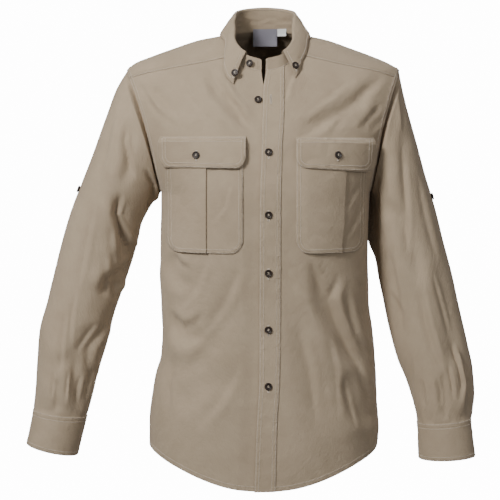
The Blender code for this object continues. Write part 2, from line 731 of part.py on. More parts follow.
def yoke_half(side):
    """Stations of half the yoke, from its front seam over the shoulder to the centre back."""
    sign = SIDE_SIGN[side]
    shares = np.linspace(0, 1, SEAM_COLUMNS + 1)
    arm_points, arm_normals = arm_seam(side)
    arm_steps = list(range(YOKE_FRONT_STEP, -YOKE_BACK_STEP - 1, -1))
    inner_over = np.interp(
        arm_steps, [-YOKE_BACK_STEP, 0, YOKE_FRONT_STEP], [120, 90, np.degrees(NECK_CORNER)]
    )
    inner_back = np.linspace(120, 180, BACK_HALF_COLUMNS + 1)[1:]
    seam_height = float(arm_height(YOKE_BACK_STEP))
    corner = arm_turn(side, np.array(seam_height), -1)
    outer_back = corner + (sign * np.pi - corner) * np.linspace(0, 1, BACK_HALF_COLUMNS + 1)[1:]
    points, normals = [], []
    for station, inner_degrees in enumerate([*inner_over, *inner_back]):
        inner = sign * math.radians(inner_degrees)
        inner_height = neck_height(inner)
        if station < len(arm_steps):
            step = arm_steps[station]
            outer_height = arm_height(step)
            outer = arm_turn(side, outer_height, 1 if step >= 0 else -1)
        else:
            outer, outer_height = outer_back[station - len(arm_steps)], seam_height
        turns = inner + (outer - inner) * shares
        heights = inner_height + (outer_height - inner_height) * shares**YOKE_SPREAD
        line, out = torso_cloth(turns, heights)
        out[0] = neck_normal(turns[0], heights[0])
        if station < len(arm_steps):
            line[-1] = arm_points[arm_steps[station] % ARM_STEPS]
            out[-1] = arm_normals[arm_steps[station] % ARM_STEPS]
        points.append(line)
        normals.append(out)
    return np.array(points), np.array(normals)


def yoke_grid():
    """The whole yoke: columns from its right front seam round the back to the left, rows out."""
    right_p, right_n = yoke_half("right")
    left_p, left_n = yoke_half("left")
    points = np.concatenate([right_p, left_p[-2::-1]])
    normals = np.concatenate([right_n, left_n[-2::-1]])
    return points.transpose(1, 0, 2), normals.transpose(1, 0, 2)


def sleeve_grid(side):
    """Rings of a sleeve from its armhole to its cuff, as rows, and turns as columns."""
    last = SLEEVE_ROWS[side][-2][0]
    rings = np.concatenate([[0.0, 0.35], np.linspace(0.9, last, SLEEVE_RINGS - 2)])
    turns = 2 * np.pi * np.arange(ARM_STEPS) / ARM_STEPS
    points, normals = sleeve_cloth(side, turns[None, :], rings[:, None])
    points[0], normals[0] = arm_seam(side)
    return points, normals


def cuff_grid(side):
    """A cuff: one band round the sleeve's end that laps over its own start."""
    first = SLEEVE_ROWS[side][-2][0]
    rings = np.linspace(first, first + 1, 4)
    start = CUFF_OPENING[side]
    turns = start + np.linspace(0, 2 * np.pi + CUFF_LAP, ARM_STEPS + 4)
    points, normals = sleeve_cloth(side, turns[None, :], rings[:, None])
    under = 1 - smooth_step((turns - start - CUFF_LAP) / math.radians(40))
    drop = -(LINED + LAYER_GAP) * under
    points = points + normals * drop[None, :, None]
    return points, normals


# Pieces that lie on a panel


def on_grid(points, normals, across, height):
    """The place on a panel's facets that is this far across and this high, and its normal."""
    flat = points[..., [0, 2]]
    corners = np.stack([flat[:-1, :-1], flat[:-1, 1:], flat[1:, :-1], flat[1:, 1:]])
    target = np.array([across, height])
    low, high = corners.min(axis=0) - 1e-4, corners.max(axis=0) + 1e-4
    near = np.all((low <= target) & (target <= high), axis=-1)
    best = None
    for row, column in np.argwhere(near):
        quad = flat[row : row + 2, column : column + 2]
        s, t, miss = solve_quad(quad, across, height)
        if best is None or miss < best[0]:
            best = (miss, row, column, s, t)
    if best is None:
        raise ValueError(f"no panel at {across:.3f} across and {height:.3f} high")
    _, row, column, s, t = best
    weights = np.array([[(1 - s) * (1 - t), (1 - s) * t], [s * (1 - t), s * t]])[..., None]
    place = (points[row : row + 2, column : column + 2] * weights).sum(axis=(0, 1))
    facing = (normals[row : row + 2, column : column + 2] * weights).sum(axis=(0, 1))
    return place, unit(facing)


def solve_quad(corners, across, height):
    """Shares down and along a quad at which it holds a point, and by how much they miss 0 to 1."""
    s = t = 0.5
    target = np.array([across, height])
    for _ in range(8):
        top = corners[0, 0] + (corners[0, 1] - corners[0, 0]) * t
        low = corners[1, 0] + (corners[1, 1] - corners[1, 0]) * t
        value = top + (low - top) * s - target
        by_s = low - top
        by_t = (corners[0, 1] - corners[0, 0]) * (1 - s) + (corners[1, 1] - corners[1, 0]) * s
        change = np.linalg.lstsq(np.stack([by_s, by_t], axis=1), value, rcond=None)[0]
        s, t = s - change[0], t - change[1]
    miss = max(0.0, -s, s - 1) + max(0.0, -t, t - 1)
    return min(max(s, 0.0), 1.0), min(max(t, 0.0), 1.0), miss


def on_panel(grid, across, heights):
    """on_grid for arrays of places."""
    across, heights = np.broadcast_arrays(across, heights)
    places = [on_grid(*grid, a, h) for a, h in zip(across.ravel(), heights.ravel())]
    points = np.array([p for p, _ in places]).reshape(*across.shape, 3)
    normals = np.array([n for _, n in places]).reshape(*across.shape, 3)
    return points, normals


def corner_inset(height, bottom, radius):
    """How far a rounded lower corner draws the side in at a height."""
    rise = np.clip(height - bottom, 0.0, radius)
    return radius - np.sqrt(np.maximum(radius**2 - (radius - rise) ** 2, 0.0))


def tuck_path(start, end, tuck):
    """Centre line of a pocket across its tuck: place across, height, and which way it faces.

    The patch comes in on top from one side, folds back under itself at the tuck, turns again
    and goes on along the panel to the other side.
    """
    level = [POCKET_GAP + FOLDED * (k + 0.5) + 0.0004 * k for k in range(3)]
    turn = (level[1] - level[0]) / 2
    back = tuck - TUCK_DEPTH
    rising = [start + (back - 0.008 - start) * s for s in (0, 0.22, 0.48, 0.74, 1.0)]
    path = [(x, level[0] + (level[2] - level[0]) * smooth_step((x - start) / 0.02)) for x in rising]
    path += [(back, level[2]), (tuck - 0.002, level[2]), (tuck, level[2])]
    path += [(tuck + turn, level[1] + turn), (tuck, level[1])]
    path += [(back, level[1]), (back - turn, level[0] + turn), (back, level[0])]
    path += [(tuck, level[0])]
    return path + [(tuck + (end - tuck) * s, level[0]) for s in (0.25, 0.5, 0.75, 1.0)]


def pocket(side, front, material, collection):
    """A pocket patch: a wall along its tucked centre line, with rounded lower corners."""
    size = POCKETS[side]
    depth = POCKET_TOP - POCKET_BOTTOM
    steps = np.concatenate([np.linspace(0, 0.86, 8), [0.93, 0.975, 1.0]])
    heights = POCKET_TOP - depth * steps
    faces = []
    for height, step in zip(heights, steps):
        inset = float(corner_inset(np.array(height), POCKET_BOTTOM, POCKET_CORNER)) * 0.85
        tuck = size["tuck"] + (size["tuck_low"] - size["tuck"]) * step
        line = np.array(tuck_path(size["from"] + inset, size["to"] - inset, tuck))
        along = unit(np.gradient(line, axis=0))
        aside = np.stack([-along[:, 1], along[:, 0]], axis=1)
        pair = []
        for shift in (FOLDED / 2, -FOLDED / 2):
            moved = line + aside * shift
            place, facing = on_panel(front, moved[:, 0], np.full(len(moved), height))
            pair.append(place + facing * moved[:, 1:2])
        faces.append(pair)
    faces = np.array(faces)
    outer, inner = faces[:, 0], faces[:, 1]
    return wall_between(f"pocket_{side}", outer, inner, material, collection)


def add_pocket(side, front, material, collection):
    """A pocket, its flap over its mouth, and the flap's button."""
    pocket(side, front, material, collection)
    points, normals, lift = flap(side, front)
    over = (points + normals * (lift + FLAP_THICK)[..., None], normals)
    wall(f"flap_{side}", points, normals, lift, lift + FLAP_THICK, material, collection)
    return over


def wall_between(name, outer, inner, material, collection):
    """A wall whose outer and inner faces are given as two grids of points."""
    middle = (outer + inner) / 2
    away = unit(outer - inner)
    half = np.linalg.norm(outer - inner, axis=-1) / 2
    return wall(name, middle, away, -half, half, material, collection)


def flap(side, front):
    """A pocket flap: sewn down along its top edge and lying over the pocket's mouth."""
    size = FLAPS[side]
    across = np.linspace(0, 1, 13)
    down = np.array([0, 0.1, 0.2, 0.4, 0.64, 0.84, 0.95, 1.0])
    tilt = -size["sag"] * across if side == "left" else -size["sag"] * across * 0.6
    bottom = size["top"] - FLAP_DROP + tilt
    top = np.full(len(across), size["top"])
    heights = top[None, :] + (bottom - top)[None, :] * down[:, None]
    inset = corner_inset(size["top"] - FLAP_DROP * down, size["top"] - FLAP_DROP, FLAP_CORNER)
    start = size["from"] + inset * 0.9
    end = size["to"] - inset * 0.9
    places = start[:, None] + (end - start)[:, None] * across[None, :]
    points, normals = on_panel(front, places, heights)
    lift = 0.0008 + FLAP_RISE * smooth_step(down / 0.2)[:, None] * np.ones(len(across))
    return points, normals, lift


def band_grid(front):
    """The front band: a raised strip along the left front's edge, on its own rows."""
    points, normals = front
    shares = np.linspace(0, 1, 4)
    made_p, made_n = [], []
    for row in range(points.shape[0]):
        line, facing = points[row], normals[row]
        height = line[:6, 2].mean()
        start = line[0, 0] + 0.0004
        end = EDGES.at("band", height)
        if row == 0:
            height = line[0, 2]
        places = start + (end - start) * shares
        place = [np.interp(places, line[:, 0], line[:, k]) for k in range(3)]
        out = [np.interp(places, line[:, 0], facing[:, k]) for k in range(3)]
        made_p.append(np.stack(place, axis=1))
        made_n.append(unit(np.stack(out, axis=1)))
    return np.array(made_p), np.array(made_n)


# Collar


def neckline(fronts, yoke):
    """Points, angles and normals along the whole neckline, from the right edge to the left."""
    right, left = fronts["right"], fronts["left"]
    last = NECK_COLUMNS + 1
    points = np.concatenate([right[0][0, :last], yoke[0][0][1:-1], left[0][0, :last][::-1]])
    turns = np.concatenate(
        [
            front_top("right")[0][:last],
            neck_turns_over(),
            front_top("left")[0][:last][::-1],
        ]
    )
    heights = neck_height(turns)
    return points, turns, heights


def neck_turns_over():
    """Angles of the neckline's points along the yoke, between its two front corners."""
    over = np.interp(
        range(YOKE_FRONT_STEP - 1, -YOKE_BACK_STEP - 1, -1),
        [-YOKE_BACK_STEP, 0, YOKE_FRONT_STEP],
        [120, 90, np.degrees(NECK_CORNER)],
    )
    back = np.linspace(120, 180, BACK_HALF_COLUMNS + 1)[1:]
    half = np.radians(np.concatenate([over, back]))
    return np.concatenate([-half, half[-2::-1]])


def stand_grid(points, turns, heights):
    """The stand: rows down from its top edge to the neckline."""
    out, up = stand_frame(turns, heights)
    seam = neck_normal(turns, heights)
    rise = STAND.at("rise", np.degrees(np.abs(turns)))[:, None]
    ends = np.minimum(np.arange(len(turns)), np.arange(len(turns))[::-1])
    rise = rise * np.where(ends == 0, 0.84, 1.0)[:, None]
    rows = [points + up * rise * share for share in (1.0, 0.55, 0.15, 0.0)]
    return np.array(rows), np.array([out, out, out, seam])


def leaf_grid(stand_tops, turns, heights):
    """The collar's leaf: up from the stand, over its fold and down to its free edge."""
    used = slice(LEAF_START, len(turns) - LEAF_START)
    tops, turns, heights = stand_tops[used], turns[used], heights[used]
    out, up = stand_frame(turns, heights)
    rows = [tops + out * r + up * u for r, u in LEAF_BEND]
    sides = np.where(turns > 0, 1, 0)
    degrees = np.degrees(np.abs(turns))
    edge_turn = np.where(
        sides, LEAVES["left"].at("edge_turn", degrees), LEAVES["right"].at("edge_turn", degrees)
    )
    edge_height = np.where(
        sides, LEAVES["left"].at("edge_height", degrees), LEAVES["right"].at("edge_height", degrees)
    )
    edge_angle = np.sign(turns) * np.radians(edge_turn)
    edge, facing = torso_cloth(edge_angle, edge_height)
    edge = edge + facing * LEAF_CLEAR
    radial = radial_of(turns, heights)
    for step in range(1, LEAF_ROWS_DOWN + 1):
        share = step / LEAF_ROWS_DOWN
        bow = LEAF_BOW * 4 * share * (1 - share)
        rows.append(rows[len(LEAF_BEND) - 1] * (1 - share) + edge * share + radial * bow)
    points = np.array(rows)
    return points, grid_normals(points)


# Buttons and labels


def button(name, place, facing, material, collection):
    """A turned button with a raised rim, its back on the cloth at a place and facing out."""
    radius, thick = BUTTON_RADIUS, BUTTON_THICK
    profile = (
        (0.0, 0.70 * thick),
        (0.64 * radius, 0.70 * thick),
        (0.82 * radius, thick),
        (radius, 0.62 * thick),
        (0.84 * radius, 0.0),
        (0.0, 0.0),
    )
    mesh = bpy.data.meshes.new(name)
    edges = [(i, i + 1) for i in range(len(profile) - 1)]
    mesh.from_pydata([(r, 0.0, h) for r, h in profile], edges, [])
    mesh.materials.append(material)
    made = bpy.data.objects.new(name, mesh)
    collection.objects.link(made)
    turn = made.modifiers.new("turned", "SCREW")
    turn.steps = turn.render_steps = BUTTON_SIDES
    turn.use_merge_vertices = True
    turn.merge_threshold = 0.00005
    turn.use_smooth_shade = True
    made.rotation_mode = "QUATERNION"
    made.rotation_quaternion = Vector(facing.tolist()).to_track_quat("Z", "Y")
    made.location = Vector((place + facing * SEAM_GAP).tolist())
    return made


def label(name, across, width, drop, stand, material, collection):
    """A label hanging from the back neck seam, its top edge just inside the stand."""
    row = stand[0][-2]
    behind = row[row[:, 1] > 0.02]
    behind = behind[np.argsort(behind[:, 0])]
    places = across + width * np.linspace(-0.5, 0.5, 7)
    depths = np.interp(places, behind[:, 0], behind[:, 1])
    depths = depths - LINED - SEAM_GAP - LABEL_THICK / 2 - 0.0009
    heights = NECK_BACK + LABEL_TUCK - (drop + LABEL_TUCK) * np.array([0, 0.3, 0.65, 1.0])
    lean = np.array([0.0, 0.0003, 0.0002, -0.0012])
    grid = np.array(
        [[(x, y + forth, z) for x, y in zip(places, depths)] for z, forth in zip(heights, lean)]
    )
    facing = np.broadcast_to(np.array([0.0, -1.0, 0.0]), grid.shape)
    half = LABEL_THICK / 2
    return wall(name, grid, facing, -half, half, material, collection)


# Materials and assembly


def make_material(name, colour, roughness):
    made = bpy.data.materials.new(name)
    made.use_nodes = True
    shader = made.node_tree.nodes["Principled BSDF"]
    shader.inputs["Base Color"].default_value = (*colour, 1.0)
    shader.inputs["Roughness"].default_value = roughness
    shader.inputs["Metallic"].default_value = 0.0
    return made


def build_torso(cloth, collection):
    half_gap = SEAM_GAP / 2 + 0.00002
    fronts = {}
    for side in ("right", "left"):
        points, normals = front_grid(side)
        points = inset_edges(points, normals, ("top", "last"), half_gap)
        fronts[side] = (points, normals)
        wall(f"front_{side}", points, normals, -CLOTH, 0.0, cloth, collection)
    points, normals = back_grid()
    points = inset_edges(points, normals, ("top", "first", "last"), half_gap)
    wall("back", points, normals, -CLOTH, 0.0, cloth, collection)
    points, normals = yoke_grid()
    raw = (points, normals)
    points = inset_edges(points, normals, ("top", "bottom", "first", "last"), half_gap)
    wall("yoke", points, normals, -CLOTH, 0.0, cloth, collection)
    return fronts, raw


def build_sleeves(cloth, collection):
    half_gap = SEAM_GAP / 2 + 0.00002
    for side in ("right", "left"):
        points, normals = sleeve_grid(side)
        points = inset_edges(points, normals, ("top", "bottom"), half_gap)
        wall(f"sleeve_{side}", points, normals, -CLOTH, 0.0, cloth, collection, closed=True)
        points, normals = cuff_grid(side)
        points = inset_edges(points, normals, ("top",), half_gap)
        inner = CUFF_PROUD - LINED
        wall(f"cuff_{side}", points, normals, inner, CUFF_PROUD, cloth, collection)


def build_collar(fronts, yoke, cloth, collection):
    points, turns, heights = neckline(fronts, yoke)
    stand_p, stand_n = stand_grid(points, turns, heights)
    tops = stand_p[0].copy()
    stand_p = inset_edges(stand_p, stand_n, ("bottom",), SEAM_GAP / 2)
    wall("collar_stand", stand_p, stand_n, -LINED, 0.0, cloth, collection)
    leaf_p, leaf_n = leaf_grid(tops, turns, heights)
    wall("collar_leaf", leaf_p, leaf_n, -LEAF / 2, LEAF / 2, cloth, collection)
    return (stand_p, stand_n), (leaf_p, leaf_n)


def build_placket(side, material, collection):
    """The narrow band over the sleeve's opening, above the cuff's own opening."""
    last = SLEEVE_ROWS[side][-2][0]
    rings = np.linspace(last - PLACKET_RINGS, last - 0.05, 9)
    middle = CUFF_OPENING[side] + CUFF_LAP / 2
    turns = middle + PLACKET_TURN * np.linspace(-0.5, 0.5, 4)
    points, normals = sleeve_cloth(side, turns[None, :], rings[:, None])
    low, high = LAYER_GAP + 0.0003, LAYER_GAP + 0.0003 + PLACKET_THICK
    wall(f"sleeve_placket_{side}", points, normals, low, high, material, collection)


def place_on(grid, across, height, above):
    """A place and its normal this far above a grid of points."""
    place, facing = on_grid(*grid, across, height)
    return place + facing * above, facing


def build_buttons(grids, horn, collection):
    for number, height in enumerate(FRONT_BUTTONS, start=1):
        spot = place_on(grids["band"], FRONT_BUTTON_ACROSS, height, 0.0)
        button(f"front_button_{number}", *spot, horn, collection)
    spot = place_on(grids["front_right"], *FREE_BUTTON, 0.0005)
    button("free_front_button", *spot, horn, collection)
    spot = place_on(grids["stand"], *STAND_BUTTON, 0.0005)
    button("stand_button", *spot, horn, collection)
    for side in ("right", "left"):
        spot = place_on(grids["leaf"], *POINT_BUTTONS[side], LEAF / 2 + 0.0005)
        button(f"collar_button_{side}", *spot, horn, collection)
        spot = place_on(grids[f"flap_{side}"], *FLAP_BUTTONS[side], 0.0)
        button(f"flap_button_{side}", *spot, horn, collection)
        degrees, ring = TAB_BUTTONS[side]
        spot = sleeve_cloth(side, np.array(math.radians(degrees)), np.array(ring))
        button(f"tab_button_{side}", *spot, horn, collection)
        turn = CUFF_OPENING[side] + CUFF_LAP / 2
        ring = SLEEVE_ROWS[side][-2][0] + CUFF_BUTTON_SHARE
        place, facing = sleeve_cloth(side, np.array(turn), np.array(ring))
        spot = (place + facing * CUFF_PROUD, facing)
        button(f"cuff_button_{side}", *spot, horn, collection)


def main():
    for old in list(bpy.data.objects):
        bpy.data.objects.remove(old)
    shirt = bpy.data.collections.new("safari_shirt")
    bpy.context.scene.collection.children.link(shirt)
    cloth = make_material("khaki_cotton", (0.33, 0.28, 0.22), 0.9)
    horn = make_material("dark_horn", (0.035, 0.025, 0.02), 0.35)
    satin = make_material("grey_label", (0.22, 0.21, 0.24), 0.6)
    white = make_material("white_label", (0.75, 0.75, 0.74), 0.6)
    fronts, yoke = build_torso(cloth, shirt)
    build_sleeves(cloth, shirt)
    stand, leaf = build_collar(fronts, yoke, cloth, shirt)
    band_p, band_n = band_grid(fronts["left"])
    wall("front_band", band_p, band_n, LAYER_GAP, LAYER_GAP + BAND_THICK, cloth, shirt)
    grids = {
        "band": (band_p + band_n * (LAYER_GAP + BAND_THICK), band_n),
        "front_right": fronts["right"],
        "stand": (stand[0][:, :8], grid_normals(stand[0][:, :8])),
        "leaf": tuple(part[len(LEAF_BEND) - 1 :] for part in leaf),
    }
    for side in ("right", "left"):
        grids[f"flap_{side}"] = add_pocket(side, fronts[side], cloth, shirt)
        build_placket(side, cloth, shirt)
    build_buttons(grids, horn, shirt)
    for name, size in LABELS.items():
        label(name, *size, stand, satin if name == "neck_label" else white, shirt)


main()
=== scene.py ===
"""The finished look of a man's safari shirt, filled out as it hangs on a wearer.

The cloth pieces repeat the solids' own surfaces at a finer pitch and add creases, puckers along
the seams, hems, stitches and woven cloth. Lengths are metres in the part's own frame.
"""

import math

import bpy
import numpy as np
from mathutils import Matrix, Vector


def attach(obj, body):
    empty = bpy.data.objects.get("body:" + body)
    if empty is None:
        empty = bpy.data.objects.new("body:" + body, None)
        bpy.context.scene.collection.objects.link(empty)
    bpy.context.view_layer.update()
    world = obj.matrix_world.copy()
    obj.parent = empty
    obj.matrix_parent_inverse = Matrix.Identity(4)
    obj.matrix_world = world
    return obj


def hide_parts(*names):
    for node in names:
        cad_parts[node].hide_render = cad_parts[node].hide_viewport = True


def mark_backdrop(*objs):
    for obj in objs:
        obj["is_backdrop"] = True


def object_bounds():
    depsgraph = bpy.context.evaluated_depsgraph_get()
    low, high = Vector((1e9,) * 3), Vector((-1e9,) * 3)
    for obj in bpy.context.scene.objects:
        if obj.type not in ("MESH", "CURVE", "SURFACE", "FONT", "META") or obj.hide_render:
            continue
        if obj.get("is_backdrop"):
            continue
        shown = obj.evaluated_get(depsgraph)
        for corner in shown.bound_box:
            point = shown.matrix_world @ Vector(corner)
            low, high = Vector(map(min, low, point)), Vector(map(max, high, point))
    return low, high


# Thickness of the cloth and the clearances between pieces
CLOTH = 0.0012
LINED = 0.0022
LEAF = 0.0018
FOLDED = 0.0010
BAND_THICK = 0.0014
SEAM_GAP = 0.0003
LAYER_GAP = 0.0006

# Torso: half widths to the wearer's right and left, and depths to the front and back
ROUNDNESS = 2.35
TORSO_COLUMNS = ("height", "right", "left", "front", "back")
TORSO_ROWS = (
    (0.016, 0.048, 0.048, 0.010, 0.048),
    (0.010, 0.054, 0.054, 0.012, 0.053),
    (0.003, 0.062, 0.062, 0.015, 0.059),
    (0.000, 0.070, 0.068, 0.0185, 0.062),
    (-0.0085, 0.1115, 0.105, 0.0250, 0.068),
    (-0.022, 0.152, 0.144, 0.0372, 0.076),
    (-0.035, 0.188, 0.179, 0.0505, 0.083),
    (-0.049, 0.222, 0.211, 0.0625, 0.090),
    (-0.060, 0.233, 0.226, 0.0712, 0.095),
    (-0.100, 0.239, 0.232, 0.0940, 0.109),
    (-0.160, 0.223, 0.219, 0.1170, 0.121),
    (-0.220, 0.196, 0.1955, 0.1300, 0.123),
    (-0.264, 0.1765, 0.1775, 0.134, 0.121),
    (-0.330, 0.1775, 0.1755, 0.133, 0.115),
    (-0.450, 0.1768, 0.1775, 0.126, 0.107),
    (-0.500, 0.1755, 0.1840, 0.125, 0.106),
    (-0.545, 0.1785, 0.1885, 0.126, 0.108),
    (-0.580, 0.1880, 0.1910, 0.128, 0.110),
    (-0.620, 0.1940, 0.1930, 0.130, 0.113),
    (-0.665, 0.1985, 0.1965, 0.132, 0.116),
    (-0.700, 0.1990, 0.1945, 0.133, 0.118),
    (-0.860, 0.1980, 0.1930, 0.134, 0.121),
)

# Neckline, armholes and yoke
NECK_FRONT = -0.062
NECK_SIDE = 0.003
NECK_BACK = 0.010
NECK_SPREAD = {"right": 3.1, "left": 2.6}
NECK_CORNER = math.radians(46)
NECK_OVAL = {"side": 0.062, "front": 0.0725, "back": 0.053}
ARM_TOP = -0.060
ARM_BOTTOM = -0.264
ARM_DEPTH = {1: 0.058, -1: 0.056}
ARM_BOW = {1: 0.008, -1: 0.003}
ARM_STEPS = 24
YOKE_FRONT_STEP = 2
YOKE_BACK_STEP = 4
YOKE_SPREAD = 1.5

# Hem: height at the side seams and at the middle of the front and back tails
HEM_SIDE = -0.694
HEM_FRONT = -0.752
HEM_BACK = -0.782

# Front edges, measured from the middle. The right front runs under the left.
EDGE_COLUMNS = ("height", "right", "left", "band")
EDGE_ROWS = (
    (0.000, -0.008, 0.002, 0.0310),
    (-0.062, -0.0065, 0.0005, 0.0310),
    (-0.092, -0.0020, -0.0038, 0.0308),
    (-0.120, 0.0030, -0.0050, 0.0304),
    (-0.195, 0.0120, -0.0074, 0.0266),
    (-0.285, 0.0140, -0.0101, 0.0247),
    (-0.435, 0.0140, -0.0105, 0.0247),
    (-0.562, 0.0140, -0.0108, 0.0232),
    (-0.640, 0.0100, -0.0147, 0.0191),
    (-0.760, 0.0080, -0.0190, 0.0163),
)

# Sleeves: the rails seen from the front, the middle's place in depth and the half depth
SLEEVE_COLUMNS = (
    "ring",
    "outer_x",
    "outer_z",
    "inner_x",
    "inner_z",
    "middle_y",
    "depth",
)
SLEEVE_ROWS = {
    "right": (
        (0, 0.2330, -0.060, 0.1765, -0.264, 0.000, 0.057),
        (1, 0.2505, -0.089, 0.1820, -0.272, 0.001, 0.060),
        (2, 0.2694, -0.138, 0.1910, -0.284, 0.002, 0.063),
        (3, 0.2920, -0.199, 0.2010, -0.300, 0.003, 0.065),
        (4, 0.3128, -0.251, 0.2110, -0.320, 0.004, 0.064),
        (5, 0.3338, -0.306, 0.2165, -0.3435, 0.005, 0.062),
        (6, 0.3532, -0.374, 0.2356, -0.407, 0.004, 0.058),
        (7, 0.3710, -0.443, 0.2583, -0.472, 0.001, 0.055),
        (8, 0.3854, -0.502, 0.2707, -0.522, -0.003, 0.054),
        (9, 0.3885, -0.553, 0.2866, -0.574, -0.008, 0.051),
        (10, 0.3916, -0.595, 0.2955, -0.611, -0.013, 0.047),
        (11, 0.3954, -0.633, 0.3044, -0.6455, -0.017, 0.041),
        (12, 0.4070, -0.693, 0.3205, -0.7126, -0.022, 0.040),
    ),
    "left": (
        (0, 0.2260, -0.060, 0.1775, -0.264, 0.000, 0.057),
        (1, 0.2335, -0.096, 0.1822, -0.272, 0.001, 0.060),
        (2, 0.2425, -0.1295, 0.1850, -0.284, 0.002, 0.063),
        (3, 0.2543, -0.170, 0.1865, -0.300, 0.003, 0.065),
        (4, 0.2701, -0.2276, 0.1870, -0.322, 0.004, 0.065),
        (5, 0.2877, -0.2854, 0.1875, -0.350, 0.005, 0.064),
        (6, 0.3036, -0.3435, 0.1910, -0.387, 0.005, 0.062),
        (7, 0.3196, -0.4017, 0.2000, -0.434, 0.003, 0.060),
        (8, 0.3339, -0.4636, 0.2126, -0.495, 0.000, 0.058),
        (9, 0.3465, -0.5188, 0.2268, -0.548, -0.004, 0.055),
        (10, 0.3557, -0.5673, 0.2425, -0.588, -0.009, 0.052),
        (11, 0.3575, -0.609, 0.2540, -0.6265, -0.014, 0.047),
        (12, 0.3535, -0.6473, 0.2603, -0.656, -0.018, 0.042),
        (13, 0.3609, -0.7136, 0.2635, -0.719, -0.022, 0.041),
    ),
}
SLEEVE_BLEND = 2.5
SLEEVE_RINGS = 18
CUFF_OPENING = {"right": math.radians(-62), "left": math.radians(-42)}
CUFF_LAP = math.radians(34)
CUFF_PROUD = 0.0008
PLACKET_RINGS = 2.0
PLACKET_TURN = math.radians(24)
PLACKET_THICK = 0.0016

# Collar: the stand's height, how far it leans in, and the leaf's free edge on the body
STAND_COLUMNS = ("turn", "rise", "lean")
STAND_ROWS = (
    (0, 0.0215, 0.06),
    (25, 0.0215, 0.12),
    (60, 0.0230, 0.34),
    (90, 0.0275, 0.42),
    (120, 0.0330, 0.26),
    (150, 0.0345, 0.10),
    (180, 0.0350, 0.05),
)
LEAF_COLUMNS = ("turn", "edge_turn", "edge_height")
LEAF_ROWS = {
    "right": (
        (22, 28.0, -0.0895),
        (30, 36.5, -0.0785),
        (38, 44.8, -0.0595),
        (46, 50.5, -0.0435),
        (60, 62.0, -0.0220),
        (75, 74.5, -0.0080),
        (90, 90.0, 0.0000),
        (120, 120, 0.0000),
        (180, 180, 0.0010),
    ),
    "left": (
        (22, 30.2, -0.0775),
        (30, 37.6, -0.0640),
        (38, 44.6, -0.0490),
        (46, 51.5, -0.0390),
        (60, 63.0, -0.0235),
        (75, 75.7, -0.0080),
        (90, 90.0, 0.0000),
        (120, 120, 0.0000),
        (180, 180, 0.0010),
    ),
}
LEAF_START = 3
LEAF_CLEAR = 0.0028
LEAF_BEND = (
    (-0.0011, 0.0005),
    (-0.0010, 0.0026),
    (0.0003, 0.0043),
    (0.0022, 0.0044),
    (0.0037, 0.0026),
)
LEAF_ROWS_DOWN = 4
LEAF_BOW = 0.0025

# Chest pockets: the patch, its tuck and its flap, seen from the front
POCKETS = {
    "right": {"from": -0.165, "to": -0.036, "tuck": -0.096, "tuck_low": -0.096},
    "left": {"from": 0.049, "to": 0.166, "tuck": 0.131, "tuck_low": 0.123},
}
POCKET_TOP = -0.181
POCKET_BOTTOM = -0.361
POCKET_CORNER = 0.026
TUCK_DEPTH = 0.009
POCKET_GAP = 0.0010
FLAPS = {
    "right": {"from": -0.172, "to": -0.032, "top": -0.170, "sag": 0.003},
    "left": {"from": 0.049, "to": 0.178, "top": -0.1715, "sag": 0.006},
}
FLAP_DROP = 0.050
FLAP_CORNER = 0.020
FLAP_RISE = 0.0056
FLAP_THICK = 0.0016

# Buttons
BUTTON_RADIUS = 0.0062
BUTTON_THICK = 0.0026
FRONT_BUTTONS = (-0.195, -0.296, -0.391, -0.484, -0.577)
FRONT_BUTTON_ACROSS = 0.0045
FREE_BUTTON = (-0.0122, -0.1096)
STAND_BUTTON = (-0.0255, -0.0500)
POINT_BUTTONS = {"right": (-0.0500, -0.0660), "left": (0.0487, -0.0540)}
FLAP_BUTTONS = {"right": (-0.1128, -0.1997), "left": (0.1173, -0.1995)}
TAB_BUTTONS = {"right": (12, 4.15), "left": (14, 4.75)}
CUFF_BUTTON_SHARE = 0.5

# Labels sewn into the back of the neck
LABELS = {"neck_label": (0.0004, 0.0410, 0.0270), "size_label": (0.0290, 0.0150, 0.0095)}
LABEL_THICK = 0.0010
LABEL_TUCK = 0.0030

